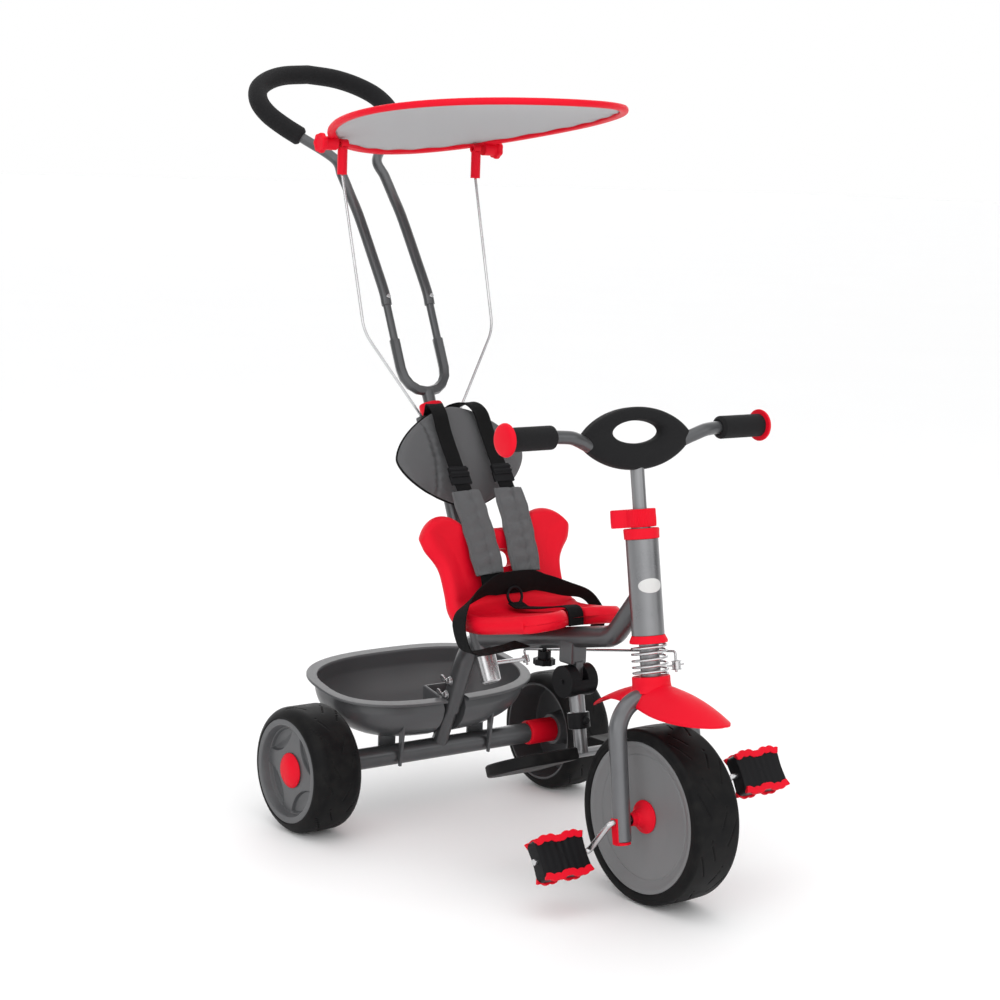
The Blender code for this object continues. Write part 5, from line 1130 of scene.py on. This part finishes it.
# a soft flat sleeve: a lens section, puckered crosswise, with a lengthwise crease
def pillowBand(path, wide, width, thickness, around=72):
    sides, ups = carriedFrames(path, wide)
    turn = np.linspace(0, tau, around, endpoint=False)[None]
    lengths = np.concatenate([[0], np.cumsum(np.linalg.norm(np.diff(path, axis=0), axis=1))])[:, None]
    across = np.sign(np.cos(turn)) * np.abs(np.cos(turn)) ** 0.7 * width[:, None] / 2
    up = np.sign(np.sin(turn)) * np.abs(np.sin(turn)) ** 0.55 * thickness[:, None] / 2
    crease = np.exp(-((across - 0.004) / 0.0018) ** 2) * 0.0021
    folds = 0.0010 * np.sin(lengths * 330 + across * 60) * np.cos(across * 75)
    stitched = 0.0010 * np.exp(-((np.abs(across) - width[:, None] * 0.42) / 0.0008) ** 2)
    up = up - np.sign(up) * (crease + stitched) + folds * np.sign(up)
    return path[:, None] + across[..., None] * sides[:, None] + up[..., None] * ups[:, None]


buckle = {
    "ends": [(0.0367, -0.0772, 0.2810), (0.0368, -0.0820, 0.2550)],
    "steps": [(0.00, 0.60, 0.030, 0.0065, 0.0008), (0.42, 1.00, 0.0335, 0.0048, 0.0),
              (0.10, 0.24, 0.0320, 0.0030, 0.0034), (0.34, 0.48, 0.0320, 0.0030, 0.0034)],
    "round": 0.0013,
    "edge": 0.0007,
}


# a ladder buckle: a wide lower step and a narrower upper one, each a rounded slab with a bar across it;
# a step has its start and end along the buckle, its width, its thickness and how far it stands out
def makeBuckle(side, way, body):
    start, end = placed(np.array(buckle["ends"]) * (way, 1, 1), "post")
    for count, (low, high, width, thick, out) in enumerate(buckle["steps"]):
        path = straight(start + (end - start) * low, start + (end - start) * high, 4)
        ups = carriedFrames(path, (1, 0, 0))[1]
        outward = ups * (-1 if ups[0, 1] > 0 else 1)
        grid = bandGrid(path + outward * out, (1, 0, 0), width, thick, buckle["round"])
        addPiece("buckle%d_%s" % (count, side), gridMesh("buckle", grid), body, "black_plastic", (),
                 buckle["edge"])


beltHalf = [(0.026, .3205, .3570), (0.050, .3170, .3530), (0.080, .3070, .3440), (0.104, .2930, .3370),
            (0.117, .2840, .3210), (0.118, .2790, .3030), (0.112, .2750, .2850), (0.097, .2730, .2775),
            (0.060, .2700, .2800), (0.022, .2680, .2840)]
beltWide = [(0, -.35, .94), (0, -.45, .90), (0, -.65, .76), (0, -.90, .43), (0, -1, .1), (0, -1, 0),
            (0, -1, 0),
            (0, -1, 0), (0, -1, 0), (0, -1, 0)]
crotch = [(.3150, .3300), (.3080, .3280), (.3000, .3262), (.2900, .3275), (.2500, .3345), (.2150, .3430),
          (.1950, .3465), (.1860, .3420), (.1830, .3330), (.1825, .3230)]


def makeBelt():
    body = bodyOf["harness_belt"]
    points = np.concatenate([beltHalf, beltWide], 1)
    mirror = points[::-1] * (-1, 1, 1, -1, 1, 1)
    front = smoothPath(np.concatenate([mirror, points]), 10)
    path = placed(front[:, :3], "root")
    widths = np.interp(np.abs(front[:, 0]), (0.026, 0.045), (0.036, 0.028))
    grid = bandGrid(path, front[:, 3:], widths, 0.0018)
    mesh = gridMesh("lapBelt", grid, uv=measuredMap(grid))
    addPiece("lapBelt", mesh, body, "black_webbing", ["harness_belt"])
    strap = smoothPath(np.array([(0, y, z) for y, z in crotch]), 10)
    webbing("crotchStrap", placed(strap, "root"), (1, 0, 0), 0.025, body)
    turn = np.linspace(0, tau, 96, endpoint=False)
    tilt = 1.297
    ring = np.stack([0.012 * np.cos(turn), 0.3165 + 0.012 * np.sin(turn) * math.cos(tilt),
                     0.3395 + 0.012 * np.sin(turn) * math.sin(tilt)], 1)
    grid = placed(closedTube(ring, 0.002, 16), "root")
    addPiece("beltRing", gridMesh("beltRing", grid, True, True), body, "black_plastic")


# a round section carried round a closed loop; its tangents wrap past the join
def closedTube(ring, radius, around):
    tangent = np.roll(ring, -1, 0) - np.roll(ring, 1, 0)
    tangent /= np.linalg.norm(tangent, axis=1, keepdims=True)
    outward = ring - ring.mean(0)
    outward -= np.sum(outward * tangent, 1, keepdims=True) * tangent
    outward /= np.linalg.norm(outward, axis=1, keepdims=True)
    up = np.cross(tangent, outward)
    turn = np.linspace(0, tau, around, endpoint=False)[None, :, None]
    return ring[:, None] + radius * (np.cos(turn) * outward[:, None] + np.sin(turn) * up[:, None])


makeSeat()
makeHeadrest()
for side, way in (("left", 1), ("right", -1)):
    makeShoulderStrap(side, way)
makeBelt()
print("seat and harness made")


canopy = {
    "half": (0.198, 0.2277),
    "middleY": 0.4386,
    "power": 1.89,
    "sheetInset": 0.0108,
    "sheetThickness": 0.0010,
    "slope": 0.154,
    "sideFall": 0.0092,
    "endFall": 0.0222,
}


def canopyHeight(x, y):
    run = y - canopy["middleY"]
    return (0.9898 - canopy["slope"] * run - canopy["sideFall"] * (x / canopy["half"][0]) ** 2
            - canopy["endFall"] * (run / canopy["half"][1]) ** 2)


# the canopy's outline, a superellipse, moved in by an inset along its own normal
def canopyOutline(inset, steps=288):
    turn = np.linspace(0, tau, steps, endpoint=False)
    power = 2 / canopy["power"]
    halfX, halfY = canopy["half"]
    x = halfX * np.sign(np.cos(turn)) * np.abs(np.cos(turn)) ** power
    y = halfY * np.sign(np.sin(turn)) * np.abs(np.sin(turn)) ** power
    normalX = np.sign(x) * np.abs(x / halfX) ** (canopy["power"] - 1) / halfX
    normalY = np.sign(y) * np.abs(y / halfY) ** (canopy["power"] - 1) / halfY
    size = np.hypot(normalX, normalY)
    return np.stack([x - inset * normalX / size, y - inset * normalY / size + canopy["middleY"]], -1)


def makeCanopy():
    body = bodyOf["canopy_rim"]
    section = [(0.011, 0.0040), (0.0085, 0.0044), (0.0050, 0.0047), (0.0022, 0.0043), (0.0006, 0.0026),
               (0, 0),
               (0.0006, -0.0026), (0.0022, -0.0043), (0.0050, -0.0047), (0.0085, -0.0044), (0.011, -0.0040),
               (0.0116, -0.0022), (0.0116, 0.0022)]
    rings = [np.concatenate([canopyOutline(inset), rise + canopyHeight(*canopyOutline(inset).T)[:, None]], 1)
             for inset, rise in section]
    grid = placed(np.stack(rings, 1), "root")
    addPiece("canopyRim", gridMesh("canopyRim", grid, True, True), body, "red_plastic", ["canopy_rim"])
    edge = canopyOutline(canopy["sheetInset"])
    middle = edge.mean(0)
    share = np.linspace(1, 0, 40)[:, None, None]
    flat = middle + (edge - middle) * share
    # a stretched sheet: it hangs a little between the rim's sides, with faint pulls running in from the seam
    pull = 0.0006 * np.cos(np.linspace(0, tau, 288, endpoint=False) * 26)[None] * share[..., 0] ** 6
    hang = 0.0030 * (1 - share[..., 0] ** 2)
    height = canopyHeight(flat[..., 0], flat[..., 1]) - hang + pull
    grid = placed(np.concatenate([flat, height[..., None]], -1), "root")
    mesh = gridMesh("canopySheet", grid, True, filled=False, uv=flat * 20)
    sheet = addPiece("canopySheet", mesh, body, "canopy_cloth", ["canopy_sheet"])
    wall = sheet.modifiers.new("thickness", "SOLIDIFY")
    wall.thickness = canopy["sheetThickness"]
    wall.offset = 0




# a tilt knob on each side: a stub from the rim to a disc with a lobed edge
def makeTiltKnobs():
    for side, way in (("left", 1), ("right", -1)):
        turn = np.linspace(0, tau, 144, endpoint=False)[:, None]
        profile = np.array([(0, 0.1275), (0.0095, 0.1275), (0.0095, 0.1470), (0.0118, 0.1475),
                            (0.0132, 0.1485),
                            (0.0135, 0.1500), (0.0135, 0.1535), (0.0130, 0.1550), (0.0118, 0.1555),
                            (0.0080, 0.1553), (0.0074, 0.1546), (0, 0.1546)])
        lobes = 1 + 0.05 * np.cos(turn * 7) * (profile[None, :, 0] > 0.0116)
        radius = profile[None, :, 0] * lobes
        grid = np.stack([way * profile[None, :, 1] + 0 * radius, radius * np.cos(turn),
                         radius * np.sin(turn)], -1)
        mesh = gridMesh("tiltKnob", placed(grid, "tilt"), True, True)
        addPiece("tiltKnob_" + side, mesh, bodyOf["canopy_rim"], "red_plastic", (), 0.0003)


makeCanopy()
makeTiltKnobs()
print("canopy made")


basket = {
    "half": (0.1764, 0.0953),
    "power": 2.7,
    "middleY": 0.5329,
    "rim": 0.1872,
    "tilt": 0.202,
    "bottom": 0.107,
    "wall": 0.003,
    "lip": 0.012,
    "notchHalfWidth": 0.0185,
    "notchBack": 0.492,
    "legX": 0.078,
}


# one level of the basket: a superellipse with a channel for the down tube at its front
def basketRing(scaleX, scaleY, height, wall=0.0, tilt=1.0, steps=240):
    halfX, halfY = basket["half"][0] * scaleX - wall, basket["half"][1] * scaleY - wall
    notch = basket["notchHalfWidth"] + wall
    power = 2 / basket["power"]
    first = math.acos((notch / halfX) ** (basket["power"] / 2))
    turn = np.linspace(-first, math.pi + first, steps)
    x = halfX * np.sign(np.cos(turn)) * np.abs(np.cos(turn)) ** power
    y = halfY * np.sign(np.sin(turn)) * np.abs(np.sin(turn)) ** power
    back = max(basket["notchBack"] + wall - basket["middleY"], y[0] + 0.001)
    across = np.concatenate([np.linspace(-notch, notch, 9), [notch], x[1:-1], [-notch]])
    along = np.concatenate([np.full(9, back), [y[0]], y[1:-1], [y[-1]]])
    return np.stack([across, basket["middleY"] + along, height + tilt * basket["tilt"] * along], -1)


# the basket: levels that swell from a small flat bottom, a lip turned out, and the inside one wall in
def makeBasket():
    underLip, wall = basket["rim"] - 0.004, basket["wall"]
    depth = underLip - basket["bottom"]
    shares = np.concatenate([np.linspace(1.0, 0.86, 7), np.linspace(0.80, 0.2, 12)])
    scales = 0.30 + 0.63 * (1 - shares ** 2.4) ** (1 / 1.9)
    lipX, lipY = (1 - basket["lip"] / half for half in basket["half"])
    rings = [basketRing(k, k, underLip - depth * s, 0, 1 - 0.9 * s) for s, k in zip(shares, scales)]
    rings += [basketRing(lipX, lipY, underLip), basketRing(0.994, 0.990, underLip)]
    rings += [basketRing(1.0, 1.0, height) for height in (underLip + 0.0008, basket["rim"] - 0.0012)]
    rings += [basketRing(0.996, 0.993, basket["rim"] - 0.0002), basketRing(0.985, 0.970, basket["rim"]),
              basketRing(lipX, lipY, basket["rim"], wall * 0.6),
              basketRing(lipX, lipY, basket["rim"] - 0.0014, wall), basketRing(lipX, lipY, underLip, wall)]
    inside = list(zip(shares, scales))[::-1]
    rings += [basketRing(k, k, underLip - depth * s + wall * (s > 0.99), wall, 1 - 0.9 * s)
              for s, k in inside]
    mesh = gridMesh("basketShell", placed(np.stack(rings), "root"))
    addPiece("basketShell", mesh, bodyOf["basket"], "grey_plastic", ["basket"], 0.0010, 3, 40)
    for side, way in (("left", 1), ("right", -1)):
        # a tapered fin in front of the axle beam, and a flat plate behind it
        fin = [(0.4694, 0.150), (0.4694, 0.074), (0.4654, 0.074), (0.4554, 0.150)]
        plate = [(-0.014, 0.072), (0.014, 0.072), (0.014, 0.132), (-0.014, 0.132)]
        for name, outline, half in (("basketFin_", fin, 0.002), ("basketPlate_", plate, 0.002)):
            corners = np.array(outline + outline[:1])
            dense = np.concatenate([straight(a, b, 13)[:-1] for a, b in zip(corners, corners[1:])])
            grid = plateGrid(dense, half, 0.0006, rings=3, rimSteps=5)
            if name == "basketFin_":
                solid = np.stack([way * basket["legX"] + grid[..., 2], grid[..., 0], grid[..., 1]], -1)
            else:
                solid = np.stack([way * basket["legX"] + grid[..., 0], 0.5017 + grid[..., 2], grid[..., 1]],
                                 -1)
            addPiece(name + side, gridMesh(name, placed(solid, "root")), bodyOf["basket"], "grey_plastic")


makeBasket()
print("basket made")


# every node that has no piece of its own yet: a merged copy with softened edges
def softenedCopy(node, edge=0.0008, angle=32):
    source = frame["nodes"][node]
    mesh = source.data.copy()
    mesh.name = node
    slot = slotOf[node]
    return addPiece(node + "_smooth", mesh, bodyOf[node], slot, [node], edge, 2, angle)


replaced = {node for piece in made.values() for node in piece.get("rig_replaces", [])}
for node in frame["nodes"]:
    if node not in replaced:
        softenedCopy(node)
print("softened copies:", len(frame["nodes"]) - len(replaced))


# pale floor, soft light from above and the sides, and the camera at the photograph's angle
studio = {
    "floor": (0.965, 0.965, 0.968),
    "surround": (1.0, 1.0, 1.0),
    "surroundStrength": 1.0,
    "streak": 0.9,
    "streakTurn": 0.6,
    "lamps": [
        {"name": "overhead", "at": (-0.4, -0.3, 3.2), "towards": (0, 0, 0.4), "size": 3.2, "watts": 16},
        {"name": "leftSide", "at": (-3.0, -0.6, 1.7), "towards": (0, 0, 0.5), "size": 2.0, "watts": 12},
        {"name": "rightFront", "at": (1.7, -3.0, 1.6), "towards": (0, 0, 0.5), "size": 2.0, "watts": 9},
        {"name": "behind", "at": (1.4, 2.6, 2.0), "towards": (0, 0, 0.6), "size": 2.2, "watts": 6},
    ],
    "cameraAt": (-1.8476, -2.445, 0.9283),
    "cameraRight": (0.79689, -0.60318, 0.03374),
    "cameraUp": (0.06418, 0.14007, 0.98807),
    "lens": 80.69,
}


def makeFloor():
    floor = Finish("paleFloor")
    cloud = floor.noise(1.3, 2.0)
    tint = studio["floor"]
    floor.set(colour=floor.mix(cloud, tint, tuple(0.985 * part for part in tint)),
              roughness=cloud * 0.1 + 0.6,
              specular=0.2)
    across, along = np.meshgrid(np.linspace(-60, 60, 9), np.linspace(-60, 60, 9))
    mesh = gridMesh("floor", np.stack([across, along, 0 * across], -1), aroundCloses=False)
    mesh.materials.append(floor.material)
    stand = bpy.data.objects.new("floor", mesh)
    scene.collection.objects.link(stand)


def makeLight():
    for lamp in studio["lamps"]:
        data = bpy.data.lights.new(lamp["name"], "AREA")
        data.shape = "DISK"
        data.size = lamp["size"]
        data.energy = lamp["watts"]
        light = bpy.data.objects.new(lamp["name"], data)
        gap = np.subtract(lamp["at"], lamp["towards"])
        turn = Matrix.Rotation(math.atan2(gap[0], -gap[1]), 4, "Z")
        tip = Matrix.Rotation(math.atan2(math.hypot(gap[0], gap[1]), gap[2]), 4, "X")
        light.matrix_world = Matrix.Translation(lamp["at"]) @ turn @ tip
        scene.collection.objects.link(light)
    makeSurround()


# the surround: one mean brightness, with brighter and dimmer sides that give round metal its streaks;
# the camera itself sees it plain
class Surround(Finish):
    def __init__(self, name):
        self.world = bpy.data.worlds.new(name)
        self.world.use_nodes = True
        self.tree = self.world.node_tree
        self.where = self.add("ShaderNodeTexCoord", {}, {}, "Generated")


def makeSurround():
    surround = Surround("surround")
    split = [surround.add("ShaderNodeSeparateXYZ", {}, {0: surround.where}, side) for side in ("X", "Y", "Z")]
    turn = surround.add("ShaderNodeMath", {"operation": "ARCTAN2"}, {0: split[0], 1: split[1]})
    sides = surround.add("ShaderNodeMath", {"operation": "SINE"}, {0: turn * 2 + studio["streakTurn"]})
    level = 1 - surround.add("ShaderNodeMath", {"operation": "ABSOLUTE"}, {0: split[2]})
    swing = sides * level * studio["streak"]
    seen = surround.add("ShaderNodeLightPath", {}, {}, "Is Camera Ray")
    strength = (swing * (1 - seen) + 1) * studio["surroundStrength"]
    background = surround.tree.nodes["Background"]
    background.inputs["Color"].default_value = (*studio["surround"], 1)
    surround.feed(background.inputs["Strength"], strength)
    scene.world = surround.world


def makeCamera():
    right, up = np.array(studio["cameraRight"]), np.array(studio["cameraUp"])
    turn = np.eye(4)
    turn[:3, 0], turn[:3, 1], turn[:3, 2] = right, up, np.cross(right, up)
    turn[:3, 3] = studio["cameraAt"]
    data = bpy.data.cameras.new("camera")
    data.lens = studio["lens"]
    data.sensor_width = 36
    camera = bpy.data.objects.new("camera", data)
    camera.matrix_world = Matrix(turn.tolist())
    scene.collection.objects.link(camera)
    scene.camera = camera


makeFloor()
makeLight()
makeCamera()
print("pieces:", len(made))
